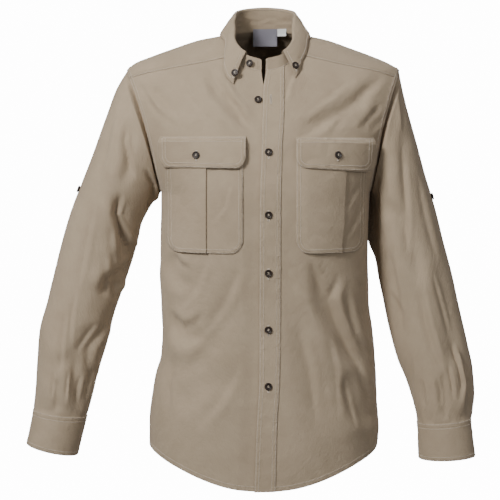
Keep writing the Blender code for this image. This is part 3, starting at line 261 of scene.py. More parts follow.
# Largest folds, on the torso and on the sleeves. Face 1 is the front and -1 the back. Each runs
# from one point to another as seen from the front, bows to its left, and is a trough where its
# depth is negative, with a softer ridge along its right side.
FOLD_COLUMNS = (
    "face",
    "from_x",
    "from_z",
    "to_x",
    "to_z",
    "bow",
    "width",
    "depth",
)
TORSO_FOLDS = (
    (1, -0.195, -0.085, -0.146, -0.146, 0.004, 0.009, -0.0032),
    (1, -0.098, -0.072, -0.020, -0.160, -0.006, 0.008, -0.0042),
    (1, -0.072, -0.098, -0.034, -0.132, 0.000, 0.007, -0.0024),
    (1, 0.190, -0.075, 0.055, -0.158, 0.008, 0.010, -0.0045),
    (1, 0.172, -0.105, 0.105, -0.160, 0.004, 0.009, -0.0038),
    (1, 0.190, -0.122, 0.156, -0.163, 0.003, 0.008, -0.0030),
    (1, -0.165, -0.365, -0.120, -0.425, -0.006, 0.013, -0.0040),
    (1, -0.160, -0.470, -0.095, -0.492, -0.018, 0.014, -0.0060),
    (1, -0.060, -0.430, -0.125, -0.560, 0.010, 0.018, -0.0040),
    (1, 0.080, -0.375, 0.181, -0.565, -0.020, 0.015, -0.0085),
    (1, 0.130, -0.560, 0.190, -0.655, -0.010, 0.015, -0.0060),
    (1, 0.055, -0.440, 0.105, -0.660, -0.010, 0.022, -0.0040),
    (1, -0.150, -0.620, -0.060, -0.560, 0.010, 0.022, -0.0035),
    (-1, -0.150, -0.200, -0.060, -0.330, 0.010, 0.016, -0.0055),
    (-1, 0.150, -0.210, 0.070, -0.340, -0.010, 0.016, -0.0055),
    (-1, 0.165, -0.420, 0.040, -0.520, 0.015, 0.018, -0.0070),
    (-1, -0.165, -0.430, -0.050, -0.500, -0.012, 0.017, -0.0060),
    (-1, 0.020, -0.300, -0.020, -0.560, 0.008, 0.022, -0.0045),
    (-1, -0.130, -0.540, -0.090, -0.720, 0.008, 0.020, -0.0050),
    (-1, 0.120, -0.560, 0.085, -0.740, -0.008, 0.020, -0.0050),
)
SLEEVE_FOLDS = (
    (1, -0.228, -0.140, -0.236, -0.255, 0.006, 0.010, -0.0045),
    (1, -0.252, -0.265, -0.240, -0.385, 0.010, 0.011, -0.0090),
    (1, -0.238, -0.392, -0.276, -0.438, -0.004, 0.010, -0.0080),
    (1, -0.318, -0.540, -0.312, -0.632, -0.004, 0.009, -0.0055),
    (1, -0.352, -0.575, -0.352, -0.636, 0.002, 0.007, -0.0035),
    (1, -0.290, -0.480, -0.345, -0.560, 0.010, 0.014, -0.0040),
    (1, 0.232, -0.150, 0.240, -0.300, -0.004, 0.012, -0.0045),
    (1, 0.205, -0.275, 0.262, -0.420, 0.008, 0.012, -0.0055),
    (1, 0.285, -0.370, 0.318, -0.560, 0.008, 0.014, -0.0050),
    (1, 0.334, -0.535, 0.345, -0.640, 0.006, 0.007, -0.0060),
    (1, 0.300, -0.560, 0.306, -0.648, -0.003, 0.008, -0.0040),
    (-1, -0.225, -0.190, -0.262, -0.330, 0.008, 0.013, -0.0055),
    (-1, -0.330, -0.350, -0.272, -0.430, 0.008, 0.013, -0.0060),
    (-1, -0.352, -0.510, -0.335, -0.636, 0.005, 0.010, -0.0050),
    (-1, 0.220, -0.190, 0.252, -0.340, -0.008, 0.013, -0.0055),
    (-1, 0.300, -0.380, 0.235, -0.460, -0.008, 0.013, -0.0060),
    (-1, 0.325, -0.530, 0.300, -0.645, -0.005, 0.010, -0.0050),
)
FOLD_FADE = 0.16
FOLD_RIDGE = 0.55

SIDE_SIGN = {"right": -1.0, "left": 1.0}
SMALL_STEP = 1e-4


class Table:
    """Rows of sizes with named columns, read along the first column without overshoot."""

    def __init__(self, columns, rows):
        data = np.array(sorted(rows), float).T
        self.key = data[0]
        self.columns = {
            name: (values, self.slopes(data[0], values))
            for name, values in zip(columns[1:], data[1:])
        }

    @staticmethod
    def slopes(key, values):
        steps = np.diff(key)
        secants = np.diff(values) / steps
        found = np.concatenate([secants[:1], np.zeros(len(steps) - 1), secants[-1:]])
        before, after = secants[:-1], secants[1:]
        same = before * after > 0
        near = 2 * steps[1:] + steps[:-1]
        far = steps[1:] + 2 * steps[:-1]
        safe_before = np.where(same, before, 1.0)
        safe_after = np.where(same, after, 1.0)
        mean = (near + far) / (near / safe_before + far / safe_after)
        found[1:-1] = np.where(same, mean, 0.0)
        return found

    def at(self, name, key):
        values, slopes = self.columns[name]
        key = np.clip(np.asarray(key, float), self.key[0], self.key[-1])
        i = np.clip(np.searchsorted(self.key, key, side="right") - 1, 0, len(values) - 2)
        step = self.key[i + 1] - self.key[i]
        t = (key - self.key[i]) / step
        rise = values[i + 1] - values[i]
        smooth = t * t * (3 - 2 * t)
        start = t * (1 - t) ** 2 * step * slopes[i]
        end = t * t * (t - 1) * step * slopes[i + 1]
        return values[i] + rise * smooth + start + end


TORSO = Table(TORSO_COLUMNS, TORSO_ROWS)
EDGES = Table(EDGE_COLUMNS, EDGE_ROWS)
STAND = Table(STAND_COLUMNS, STAND_ROWS)
SLEEVES = {side: Table(SLEEVE_COLUMNS, rows) for side, rows in SLEEVE_ROWS.items()}
LEAVES = {side: Table(LEAF_COLUMNS, rows) for side, rows in LEAF_ROWS.items()}


def smooth_step(t):
    t = np.clip(t, 0.0, 1.0)
    return t * t * (3 - 2 * t)


def unit(vectors):
    vectors = np.asarray(vectors, float)
    return vectors / np.maximum(np.linalg.norm(vectors, axis=-1, keepdims=True), 1e-12)


def fold_height(points, normals, rows):
    """How far the folds move each point out along its normal. Negative is a trough."""
    total = np.zeros(points.shape[:-1])
    for row in rows:
        fold = dict(zip(FOLD_COLUMNS, row))
        start = np.array([fold["from_x"], fold["from_z"]])
        run = np.array([fold["to_x"], fold["to_z"]]) - start
        length = np.linalg.norm(run)
        along = run / length
        offset = points[..., [0, 2]] - start
        share = offset @ along / length
        beside = offset @ np.array([-along[1], along[0]])
        beside = beside - fold["bow"] * 4 * share * (1 - share)
        ends = smooth_step((share + 0.05) / 0.3) * smooth_step((1.05 - share) / 0.3)
        facing = smooth_step(-fold["face"] * normals[..., 1] / FOLD_FADE)
        trough = np.exp(-((beside / fold["width"]) ** 2))
        ridge = np.exp(-(((beside + 1.9 * fold["width"]) / (1.3 * fold["width"])) ** 2))
        total += fold["depth"] * ends * facing * (trough - FOLD_RIDGE * ridge)
    return total


def surface_normals(surface, a, b):
    """Outward normals of surface(a, b), whose first direction turned to its second faces out."""
    along_a = surface(a + SMALL_STEP, b) - surface(a - SMALL_STEP, b)
    along_b = surface(a, b + SMALL_STEP) - surface(a, b - SMALL_STEP)
    return unit(np.cross(along_a, along_b))


def grid_normals(points):
    """Normals of a grid of points, from its own rows and columns."""
    return unit(np.cross(np.gradient(points, axis=1), np.gradient(points, axis=0)))


# Torso surface


def torso_base(turn, height):
    """The smooth torso at an angle from the centre front towards the wearer's left."""
    turn, height = np.broadcast_arrays(np.asarray(turn, float), np.asarray(height, float))
    sine, cosine = np.sin(turn), np.cos(turn)
    deep = np.where(cosine > 0, TORSO.at("front", height), TORSO.at("back", height))
    left, right = half_width("left", height, cosine), half_width("right", height, cosine)
    half = np.where(sine > 0, left, right)
    reach = (np.abs(sine) / half) ** ROUNDNESS + (np.abs(cosine) / deep) ** ROUNDNESS
    radius = reach ** (-1 / ROUNDNESS)
    return np.stack([radius * sine, -radius * cosine, height], axis=-1)


def arm_place(side, height, front):
    """How far across and how deep the armhole's loop is at a height."""
    rail = SLEEVES[side]
    share = np.clip((height - ARM_BOTTOM) / (ARM_TOP - ARM_BOTTOM), 0.0, 1.0)
    low, top = rail.at("inner_x", 0), rail.at("outer_x", 0)
    bow = np.where(front, ARM_BOW[1], ARM_BOW[-1])
    across = low + (top - low) * share - bow * 4 * share * (1 - share)
    depth = np.where(front, ARM_DEPTH[1], ARM_DEPTH[-1]) * 2 * np.sqrt(share * (1 - share))
    return across, depth


def half_width(side, height, facing):
    """The torso's half width. Between an armhole's ends it carries the surface through its loop."""
    front = facing > 0
    deep = np.where(front, TORSO.at("front", height), TORSO.at("back", height))
    across, depth = arm_place(side, height, front)
    through = across / (1 - (depth / deep) ** ROUNDNESS) ** (1 / ROUNDNESS)
    beside_arm = (height < ARM_TOP) & (height > ARM_BOTTOM)
    return np.where(beside_arm, through, TORSO.at(side, height))


def torso_normal(turn, height):
    return surface_normals(torso_base, np.asarray(turn, float), np.asarray(height, float))


def torso_cloth(turn, height):
    """Points of the folded cloth and the outward normals of the smooth torso there."""
    points, normals = torso_base(turn, height), torso_normal(turn, height)
    folds = fold_height(points, normals, TORSO_FOLDS)
    return points + normals * folds[..., None], normals


def torso_turn(across, height, face=1):
    """The angle at which the torso is this far across, on its front or its back."""
    side = "left" if np.mean(across) > 0 else "right"
    half = half_width(side, height, face)
    deep = TORSO.at("front" if face > 0 else "back", height)
    share = np.clip(np.abs(across) / half, 0.0, 1.0)
    depth = deep * (1 - share**ROUNDNESS) ** (1 / ROUNDNESS)
    return np.arctan2(across, face * depth)


def arm_height(step):
    """Heights of the armhole's points, counted from the shoulder tip round its front."""
    middle, half = (ARM_TOP + ARM_BOTTOM) / 2, (ARM_TOP - ARM_BOTTOM) / 2
    return middle + half * np.cos(2 * np.pi * np.asarray(step, float) / ARM_STEPS)


def arm_turn(side, height, face):
    """The angle of the armhole's edge at a height on the front or the back."""
    across, depth = arm_place(side, height, face > 0)
    return np.arctan2(SIDE_SIGN[side] * across, face * depth)


def outer_turn(side, height, face):
    """The angle where a panel ends: the armhole, or the side seam below it and the ridge above."""
    quarter = np.full(np.shape(height), SIDE_SIGN[side] * np.pi / 2)
    inside = (height < ARM_TOP) & (height > ARM_BOTTOM)
    level = np.clip(height, ARM_BOTTOM, ARM_TOP)
    return np.where(inside, arm_turn(side, level, face), quarter)


def neck_height(turn):
    """The neckline's height at an angle."""
    spread = np.where(turn > 0, NECK_SPREAD["left"], NECK_SPREAD["right"])
    rise = np.sin(np.minimum(np.abs(turn), np.pi / 2)) ** spread
    front = NECK_FRONT + (NECK_SIDE - NECK_FRONT) * rise
    behind = np.sin(np.maximum(np.abs(turn) - np.pi / 2, 0.0)) ** 2
    return np.where(np.abs(turn) > np.pi / 2, NECK_SIDE + (NECK_BACK - NECK_SIDE) * behind, front)


def radial_of(turn, height):
    """Level directions straight out of the oval of the neck."""
    points = torso_base(turn, height)
    deep = np.where(np.cos(turn) > 0, NECK_OVAL["front"], NECK_OVAL["back"])
    across = points[..., 0] / NECK_OVAL["side"] ** 2
    along = points[..., 1] / deep**2
    return unit(np.stack([across, along, np.zeros_like(across)], axis=-1))


def stand_frame(turn, height):
    """The stand's own outward and upward directions above a point of the neckline."""
    radial = radial_of(turn, height)
    lean = STAND.at("lean", np.degrees(np.abs(turn)))[..., None]
    up = np.array([0.0, 0.0, 1.0])
    return unit(radial + lean * up), unit(up - lean * radial)


def neck_normal(turn, height):
    """The direction that the panels' and the stand's edges share along the neckline."""
    return unit(torso_normal(turn, height) + stand_frame(turn, height)[0])


# Sleeve surface


def sleeve_base(side, turn, ring):
    """The smooth sleeve. Turn 0 is its outer rail, a quarter its front and a half its inner."""
    turn, ring = np.broadcast_arrays(np.asarray(turn, float), np.asarray(ring, float))
    rail, sign = SLEEVES[side], SIDE_SIGN[side]
    swing = (1 + np.cos(turn)) / 2
    x = rail.at("inner_x", ring) + (rail.at("outer_x", ring) - rail.at("inner_x", ring)) * swing
    z = rail.at("inner_z", ring) + (rail.at("outer_z", ring) - rail.at("inner_z", ring)) * swing
    front = np.sin(turn) >= 0
    share = 1 - smooth_step(ring / SLEEVE_BLEND)
    x = x - np.where(front, ARM_BOW[1], ARM_BOW[-1]) * np.sin(turn) ** 2 * share
    armhole_y = -np.where(front, ARM_DEPTH[1], ARM_DEPTH[-1]) * np.sin(turn)
    round_y = rail.at("middle_y", ring) - rail.at("depth", ring) * np.sin(turn)
    y = round_y + (armhole_y - round_y) * share
    return np.stack([sign * x, y, z], axis=-1)


def sleeve_normal(side, turn, ring):
    turn, ring = np.asarray(turn, float), np.asarray(ring, float)
    low = np.maximum(ring - SMALL_STEP, 0.0)
    around = sleeve_base(side, turn + SMALL_STEP, ring) - sleeve_base(side, turn - SMALL_STEP, ring)
    along = sleeve_base(side, turn, ring + SMALL_STEP) - sleeve_base(side, turn, low)
    return unit(np.cross(around, along)) * SIDE_SIGN[side]


# Fineness of the meshes

FINE = 7


def refine(values, times):
    """Values in order, with others put evenly between each two."""
    values = np.asarray(values, float)
    places = np.linspace(0, len(values) - 1, (len(values) - 1) * times + 1)
    return np.interp(places, np.arange(len(values)), values)


def spline(points, times):
    """A grid of points made finer down its rows by a smooth curve through them."""
    count = len(points)
    places = np.linspace(0, count - 1, (count - 1) * times + 1)
    i = np.clip(places.astype(int), 0, count - 2)
    t = (places - i)[:, None, None]
    padded = np.concatenate([2 * points[:1] - points[1:2], points, 2 * points[-1:] - points[-2:-1]])
    before, here, there, after = (padded[i + k] for k in range(4))
    leave, arrive = (there - before) / 2, (after - here) / 2
    cubes = (2 * t**3 - 3 * t**2 + 1) * here + (t**3 - 2 * t**2 + t) * leave
    return cubes + (3 * t**2 - 2 * t**3) * there + (t**3 - t**2) * arrive


# Fine relief of the cloth


def value_noise(points, scale, seed):
    """Smooth noise from -1 to 1 with one knot to each scale."""
    p = points / scale + seed * 17.31
    cell = np.floor(p).astype(np.int64)
    t = p - cell
    t = t * t * t * (t * (6 * t - 15) + 10)
    total = np.zeros(p.shape[:-1])
    for corner in np.ndindex(2, 2, 2):
        key = cell + np.array(corner)
        mixed = key[..., 0] * 73856093 ^ key[..., 1] * 19349663 ^ key[..., 2] * 83492791
        mixed = (mixed + seed * 2654435761) & 0x7FFFFFFF
        mixed = (mixed ^ (mixed >> 13)) * 1274126177 & 0x7FFFFFFF
        value = (mixed ^ (mixed >> 16)) % 65536 / 32767.5 - 1
        weight = np.prod(np.where(np.array(corner) == 1, t, 1 - t), axis=-1)
        total += value * weight
    return total


def turned(points, degrees):
    """Points turned about the depth axis, so that noise can be drawn out along a slant."""
    c, s = math.cos(math.radians(degrees)), math.sin(math.radians(degrees))
    x, y, z = points[..., 0], points[..., 1], points[..., 2]
    return np.stack([c * x + s * z, y, c * z - s * x], axis=-1)


def ripples(points):
    """Soft unevenness all over the cloth, and faint pressed creases drawn out along slants."""
    soft = value_noise(points, 0.085, 1) * 0.0011 + value_noise(points, 0.036, 2) * 0.00042
    left = turned(points, 52) * np.array([1.0, 1.0, 0.34])
    right = turned(points, -52) * np.array([1.0, 1.0, 0.34])
    side = smooth_step(points[..., 0] / 0.12 + 0.5)
    slant = value_noise(left, 0.020, 3) * side + value_noise(right, 0.020, 4) * (1 - side)
    sharp = 1 - np.abs(slant) * 2.6
    crease = np.clip(sharp, 0.0, 1.0) ** 2 * smooth_step(value_noise(points, 0.075, 5) * 1.6)
    return soft - crease * 0.00055


# Creases that show besides the solids' largest folds, marked on the picture. A path is a
# run of points across and down the picture, in its pixels, and a width or a depth is in
# millimetres. Face 1 is the front and -1 the back. A negative depth is a trough along the path,
# as seen from the front, with a crisp ridge along the left of its run.
CREASE_COLUMNS = ("face", "width", "depth", "path")
PICTURE_MIDDLE = (267.0, 152.0)
PICTURE_MIDDLE_HEIGHT = -0.195
PICTURE_PIXEL = (0.001625, 0.001626)
MILLIMETRE = 0.001
CREASES = (
    (1, 5.0, -2.6, ((147, 98), (158, 112), (176, 127))),
    (1, 4.0, -2.0, ((138, 82), (148, 98), (157, 113))),
    (1, 6.5, -3.2, ((208, 66), (222, 88), (240, 112), (254, 130))),
    (1, 5.0, -2.0, ((222, 80), (232, 100), (246, 116))),
    (1, 4.5, -1.5, ((176, 78), (192, 98), (206, 116))),
    (1, 6.5, -3.4, ((384, 78), (360, 100), (330, 122), (300, 138))),
    (1, 5.0, -2.6, ((372, 98), (352, 112), (332, 131))),
    (1, 4.0, -2.0, ((350, 82), (330, 98), (304, 116))),
    (1, 4.5, -2.4, ((386, 104), (374, 116), (362, 130))),
    (1, 3.2, -1.6, ((388, 118), (380, 126), (374, 134))),
    (1, 4.0, -2.0, ((296, 72), (290, 84), (286, 100))),
    (1, 6.0, -3.6, ((172, 256), (180, 266), (190, 270))),
    (1, 7.0, -4.2, ((170, 318), (182, 330), (195, 326), (204, 314))),
    (1, 6.0, -2.0, ((206, 262), (196, 290), (178, 312))),
    (1, 7.0, -2.2, ((240, 270), (228, 300), (206, 332))),
    (1, 8.0, -2.2, ((238, 370), (222, 400), (198, 430))),
    (1, 6.0, -2.0, ((176, 360), (168, 390), (166, 420))),
    (1, 5.0, -3.0, ((312, 264), (320, 280), (330, 296))),
    (1, 4.5, -1.6, ((284, 266), (298, 292), (314, 318))),
    (1, 7.0, -6.5, ((340, 280), (333, 300), (341, 322), (354, 350), (364, 369))),
    (1, 6.0, -4.5, ((349, 298), (353, 318), (360, 340), (374, 362))),
    (1, 6.0, -4.0, ((361, 372), (370, 392), (379, 414))),
    (1, 5.0, -2.6, ((345, 382), (352, 404), (358, 430))),
    (1, 7.0, -2.4, ((300, 330), (312, 370), (318, 420))),
    (1, 6.0, -2.0, ((330, 340), (338, 380), (340, 420))),
    (1, 4.0, -2.0, ((366, 200), (358, 222), (348, 238))),
    (1, 3.0, -1.4, ((362, 184), (354, 198), (346, 210))),
    (1, 3.0, -1.0, ((232, 182), (226, 206), (214, 222))),
    (1, 3.0, -1.0, ((186, 180), (178, 204), (172, 230))),
    (1, 5.0, -1.6, ((160, 300), (158, 330), (152, 360))),
    (-1, 6.0, -3.0, ((165, 125), (190, 150), (215, 172))),
    (-1, 6.0, -3.0, ((375, 125), (350, 152), (322, 174))),
    (-1, 7.0, -3.6, ((160, 220), (195, 240), (240, 252))),
    (-1, 7.0, -3.6, ((374, 225), (340, 248), (296, 262))),
    (-1, 8.0, -5.0, ((160, 300), (190, 322), (232, 334))),
    (-1, 8.0, -5.0, ((372, 296), (346, 320), (300, 336))),
    (-1, 7.0, -3.0, ((180, 370), (200, 400), (206, 440))),
    (-1, 7.0, -3.0, ((352, 368), (336, 400), (328, 446))),
    (-1, 6.0, -2.2, ((250, 280), (262, 320), (258, 370))),
    (-1, 5.0, -1.8, ((290, 300), (282, 340), (288, 390))),
)
SLEEVE_CREASES = (
    (1, 4.0, -3.6, ((124, 128), (123, 142), (127, 160), (132, 178))),
    (1, 3.6, -6.5, ((145, 172), (153, 187), (150, 200), (144, 216))),
    (1, 5.0, -8.0, ((118, 199), (114, 217), (121, 236), (127, 252), (130, 264))),
    (1, 4.4, -3.0, ((107, 230), (108, 250), (112, 272))),
    (1, 6.0, -9.5, ((131, 262), (120, 280), (113, 292), (111, 306))),
    (1, 4.0, -2.4, ((100, 262), (102, 284), (104, 300))),
    (1, 6.0, -4.0, ((111, 316), (98, 338), (85, 356), (83, 370), (87, 394))),
    (1, 4.0, -2.0, ((92, 330), (80, 346), (72, 358))),
    (1, 3.6, -2.0, ((60, 320), (57, 350), (55, 380))),
    (1, 3.6, -1.8, ((70, 300), (66, 330), (66, 350))),
    (1, 3.0, -3.0, ((88, 380), (82, 396), (80, 412))),
    (1, 2.6, -2.4, ((76, 384), (73, 400), (72, 412))),
    (1, 2.4, -2.2, ((63, 380), (61, 396), (60, 410))),
    (1, 2.4, -2.0, ((48, 380), (47, 394), (46, 406))),
    (1, 5.0, -2.0, ((112, 110), (104, 150), (94, 190))),
    (1, 5.0, -2.0, ((90, 210), (82, 250), (74, 290))),
    (1, 4.0, 2.4, ((402, 92), (404, 108), (406, 130))),
    (1, 5.0, -3.0, ((392, 96), (388, 120), (384, 150))),
    (1, 4.4, -3.0, ((382, 180), (384, 206), (388, 242))),
    (1, 5.0, -2.6, ((408, 150), (411, 200), (412, 262))),
    (1, 5.0, -2.6, ((424, 180), (432, 220), (444, 262))),
    (1, 5.0, -3.0, ((396, 256), (404, 300), (410, 340))),
    (1, 6.0, -4.4, ((426, 296), (432, 326), (441, 356), (450, 378))),
    (1, 4.0, -2.6, ((440, 280), (450, 312), (458, 340))),
    (1, 3.4, -5.5, ((462, 352), (467, 372), (471, 392), (469, 407))),
    (1, 3.0, -3.0, ((456, 372), (460, 390), (462, 408))),
    (1, 2.6, -2.2, ((444, 384), (448, 400), (449, 414))),
    (1, 2.6, -2.2, ((430, 390), (432, 404), (433, 416))),
    (1, 3.0, -1.8, ((418, 360), (420, 390), (421, 414))),
    (1, 4.0, -2.4, ((398, 300), (406, 316), (412, 322))),
    (-1, 5.0, -4.0, ((140, 130), (136, 160), (132, 190))),
    (-1, 5.0, -5.0, ((100, 220), (112, 240), (124, 252))),
    (-1, 5.0, -5.0, ((84, 280), (98, 294), (112, 300))),
    (-1, 5.0, -3.6, ((64, 320), (76, 340), (88, 352))),
    (-1, 3.0, -2.6, ((62, 380), (60, 396), (58, 410))),
    (-1, 3.0, -2.6, ((76, 380), (75, 396), (74, 412))),
    (-1, 5.0, -4.0, ((394, 130), (397, 160), (400, 190))),
    (-1, 5.0, -5.0, ((428, 230), (414, 250), (400, 262))),
    (-1, 5.0, -5.0, ((446, 290), (430, 306), (414, 314))),
    (-1, 5.0, -3.6, ((460, 340), (446, 356), (430, 364))),
    (-1, 3.0, -2.6, ((456, 384), (458, 400), (458, 416))),
    (-1, 3.0, -2.6, ((440, 384), (440, 400), (440, 416))),
)


def from_picture(places):
    """Places on the shirt seen from the front, in metres, from points on the picture."""
    across, down = np.array(places, float).T
    x = (across - PICTURE_MIDDLE[0]) * PICTURE_PIXEL[0]
    z = PICTURE_MIDDLE_HEIGHT - (down - PICTURE_MIDDLE[1]) * PICTURE_PIXEL[1]
    return np.stack([x, z], axis=1)


def crease_height(points, normals, rows):
    """How far the creases move each point out along its normal."""
    total = np.zeros(points.shape[:-1])
    flat = points[..., [0, 2]]
    for row in rows:
        crease = dict(zip(CREASE_COLUMNS, row))
        path = from_picture(crease["path"])
        runs = np.linalg.norm(np.diff(path, axis=0), axis=1)
        before = np.concatenate([[0], np.cumsum(runs)])
        nearest = np.full(total.shape, 1.0)
        beside, along = np.zeros(total.shape), np.zeros(total.shape)
        for start, end, run, passed in zip(path[:-1], path[1:], runs, before):
            ahead = (end - start) / run
            offset = flat - start
            gone = offset @ ahead
            off = offset @ np.array([-ahead[1], ahead[0]])
            away = np.hypot(off, gone - np.clip(gone, 0, run))
            closer = away < nearest
            nearest = np.where(closer, away, nearest)
            beside = np.where(closer, np.where(off < 0, -away, away), beside)
            along = np.where(closer, passed + gone, along)
        share = along / before[-1]
        ends = smooth_step((share + 0.12) / 0.4) * smooth_step((1.12 - share) / 0.4)
        facing = smooth_step(-crease["face"] * normals[..., 1] / FOLD_FADE)
        t = beside / (crease["width"] * MILLIMETRE)
        trough = np.where(t > 0, np.exp(-((t / 0.7) ** 2)), np.exp(-np.abs(t / 1.35) ** 1.7))
        ridge = np.exp(-(((t - 1.7) / 0.9) ** 2))
        total += crease["depth"] * MILLIMETRE * ends * facing * (trough - 0.55 * ridge)
    return total


def arc(points, axis):
    """Distance run along a grid's rows (axis 1) or down its columns (axis 0)."""
    steps = np.linalg.norm(np.diff(points, axis=axis), axis=-1)
    run = np.cumsum(steps, axis=axis)
    first = np.zeros_like(np.take(run, [0], axis=axis))
    return np.concatenate([first, run], axis=axis)


def edge_distances(points):
    """Distance of each point of a grid from its four edges, and the runs along and down it."""
    across, down = arc(points, 1), arc(points, 0)
    return {
        "first": across,
        "last": across[:, -1:] - across,
        "top": down,
        "bottom": down[-1:] - down,
        "across": across,
        "down": down,
    }


def pucker(runs, edge, depth, pitch, reach, seed):
    """Small waves along a seam that die out away from it."""
    away = runs[edge]
    along = runs["down"] if edge in ("first", "last") else runs["across"]
    flat = np.stack([along, away * 0.35, np.zeros_like(along)], axis=-1)
    waves = value_noise(flat, pitch, seed) * 0.7 + value_noise(flat, pitch * 0.45, seed + 1) * 0.4
    near = smooth_step(away / 0.0020) * np.exp(-away / reach)
    return waves * near * depth


# The cloth's own shape, at the fine pitch


def torso_fine(turn, height):
    """The torso's cloth with its creases and ripples, and the smooth torso's normals."""
    points, normals = torso_base(turn, height), torso_normal(turn, height)
    lift = fold_height(points, normals, TORSO_FOLDS) + crease_height(points, normals, CREASES)
    near_neck = smooth_step(-points[..., 2] / 0.05)
    lift = lift + ripples(points) * (0.25 + 0.75 * near_neck)
    return points + normals * lift[..., None], normals


def sleeve_fine(side, turn, ring):
    """The sleeve's cloth: it sinks behind the armhole's seam and gathers into the cuff."""
    points, normals = sleeve_base(side, turn, ring), sleeve_normal(side, turn, ring)
    ring = np.broadcast_to(ring, points.shape[:-1])
    turn = np.broadcast_to(turn, points.shape[:-1])
    start = smooth_step(ring / 1.2)
    lift = fold_height(points, normals, SLEEVE_FOLDS)
    lift = lift + crease_height(points, normals, SLEEVE_CREASES)
    last = SLEEVE_ROWS[side][-2][0]
    body = smooth_step((last - ring) / 0.25) + 0.25 * (ring > last)
    gathers = value_noise(np.stack([turn * 5.2, ring * 0.35, 0 * ring], -1), 1.0, 9)
    near_cuff = np.exp(-np.clip(last - ring, 0, 9) / 0.55) * smooth_step((last - ring) / 0.12)
    lift = (lift + ripples(points)) * start * body
    lift = lift + gathers * near_cuff * 0.0016
    step = turn / (2 * np.pi) * ARM_STEPS % ARM_STEPS
    ahead = smooth_step((step - 0.8) / 3.0) * smooth_step((12.0 - step) / 1.5)
    behind = smooth_step((step - 12.2) / 1.5) * smooth_step((22.8 - step) / 2.0)
    if side == "left":
        inner = smooth_step(-normals[..., 0] / 0.5) * smooth_step((points[..., 1] + 0.012) / 0.03)
        beside = np.exp(-(((points[..., 2] - LEFT_SLACK["height"]) / LEFT_SLACK["reach"]) ** 4))
        lift = lift + LEFT_SLACK["depth"] * inner * beside
    reach = ring / CREVICE_REACH[side]
    sunk = smooth_step(reach / 0.22) * (1 - smooth_step((reach - 0.32) / 0.68))
    lift = lift - CREVICE_DEPTH[side] * (ahead + 0.5 * behind) * sunk
    return points + normals * lift[..., None], normals


# The left sleeve's slack cloth falls in behind the body's side, around a height.
LEFT_SLACK = {"height": -0.318, "reach": 0.050, "depth": 0.0135}

# How deep the sleeve sinks behind the armhole's seam, and over how many of its rings.
CREVICE_DEPTH = {"right": 0.0115, "left": 0.0145}
CREVICE_REACH = {"right": 0.44, "left": 0.56}


def arm_seam_fine(side, steps):
    """The armhole's points at any steps, shared by the panels and the sleeve."""
    steps = np.asarray(steps, float) % ARM_STEPS
    heights = arm_height(steps)
    front = steps <= ARM_STEPS / 2
    turns = np.where(front, arm_turn(side, heights, 1), arm_turn(side, heights, -1))
    points, normals = torso_fine(turns, heights)
    angles = 2 * np.pi * steps / ARM_STEPS
    return points, unit(normals + sleeve_normal(side, angles, np.zeros(len(steps))))


def torso_turn_each(across, height):
    """The angle on the front at which the torso is this far across, on either side."""
    across, height = np.broadcast_arrays(np.asarray(across, float), np.asarray(height, float))
    left = torso_turn(np.maximum(across, 1e-9), height)
    right = torso_turn(np.minimum(across, -1e-9), height)
    return np.where(across > 0, left, right)


NECK_COLUMNS = 6
SEAM_COLUMNS = 8
LOWER_ROWS = 12
BACK_HALF_COLUMNS = 8


def yoke_seam_front(side, share):
    sign = SIDE_SIGN[side]
    end_height = arm_height(YOKE_FRONT_STEP)
    end_turn = arm_turn(side, end_height, 1)
    turn = sign * NECK_CORNER + (end_turn - sign * NECK_CORNER) * share
    start_height = neck_height(np.array(sign * NECK_CORNER))
    height = start_height + (end_height - start_height) * share**YOKE_SPREAD
    return turn, height


def front_top(side):
    sign = SIDE_SIGN[side]
    start = torso_turn_each(EDGES.at(side, NECK_FRONT), NECK_FRONT)
    neck = start + (sign * NECK_CORNER - start) * np.linspace(0, 1, NECK_COLUMNS * FINE + 1)
    shares = np.linspace(0, 1, SEAM_COLUMNS * FINE + 1)[1:]
    seam_turn, seam_height = yoke_seam_front(side, shares)
    return np.concatenate([neck, seam_turn]), np.concatenate([neck_height(neck), seam_height])


def hem_height(turn, middle):
    share = np.abs(np.sin(turn))
    return middle + (HEM_SIDE - middle) * share**3.2


def panel_rows(tops, hems, first_step, last_step):
    steps = np.linspace(first_step, last_step, (last_step - first_step) * FINE + 1)
    arm = arm_height(steps)
    share = (arm - arm[0]) / (arm[-1] - arm[0])
    upper = tops[None, :] + (ARM_BOTTOM - tops[None, :]) * share[:, None]
    down = np.linspace(0, 1, LOWER_ROWS * FINE + 1)[1:, None]
    lower = ARM_BOTTOM + (hems[None, :] - ARM_BOTTOM) * down
    return np.concatenate([upper, lower]), steps


def right_front_tuck(points, height):
    start = EDGES.at("left", height) - 0.030
    return -(CLOTH + LAYER_GAP) * smooth_step((points[..., 0] - start) / 0.022)


def front_grid(side):
    turns, tops = front_top(side)
    start = torso_turn_each(EDGES.at(side, tops), tops)
    shares = (turns - start) / (outer_turn(side, tops, 1) - start)
    shares[-1] = 1.0
    end_turn = outer_turn(side, np.full(len(shares), HEM_SIDE), 1)
    hems = hem_height(shares * end_turn, HEM_FRONT)
    heights, steps = panel_rows(tops, hems, YOKE_FRONT_STEP, ARM_STEPS // 2)
    edge = torso_turn_each(EDGES.at(side, heights), heights)
    angles = edge + (outer_turn(side, heights, 1) - edge) * shares[None, :]
    angles[0] = turns
    points, normals = torso_fine(angles, heights)
    if side == "right":
        points = points + normals * right_front_tuck(points, heights)[..., None]
    neck = NECK_COLUMNS * FINE + 1
    normals[0, :neck] = neck_normal(angles[0, :neck], heights[0, :neck])
    seam, seam_normals = arm_seam_fine(side, steps)
    points[: len(steps), -1], normals[: len(steps), -1] = seam, seam_normals
    return points, normals


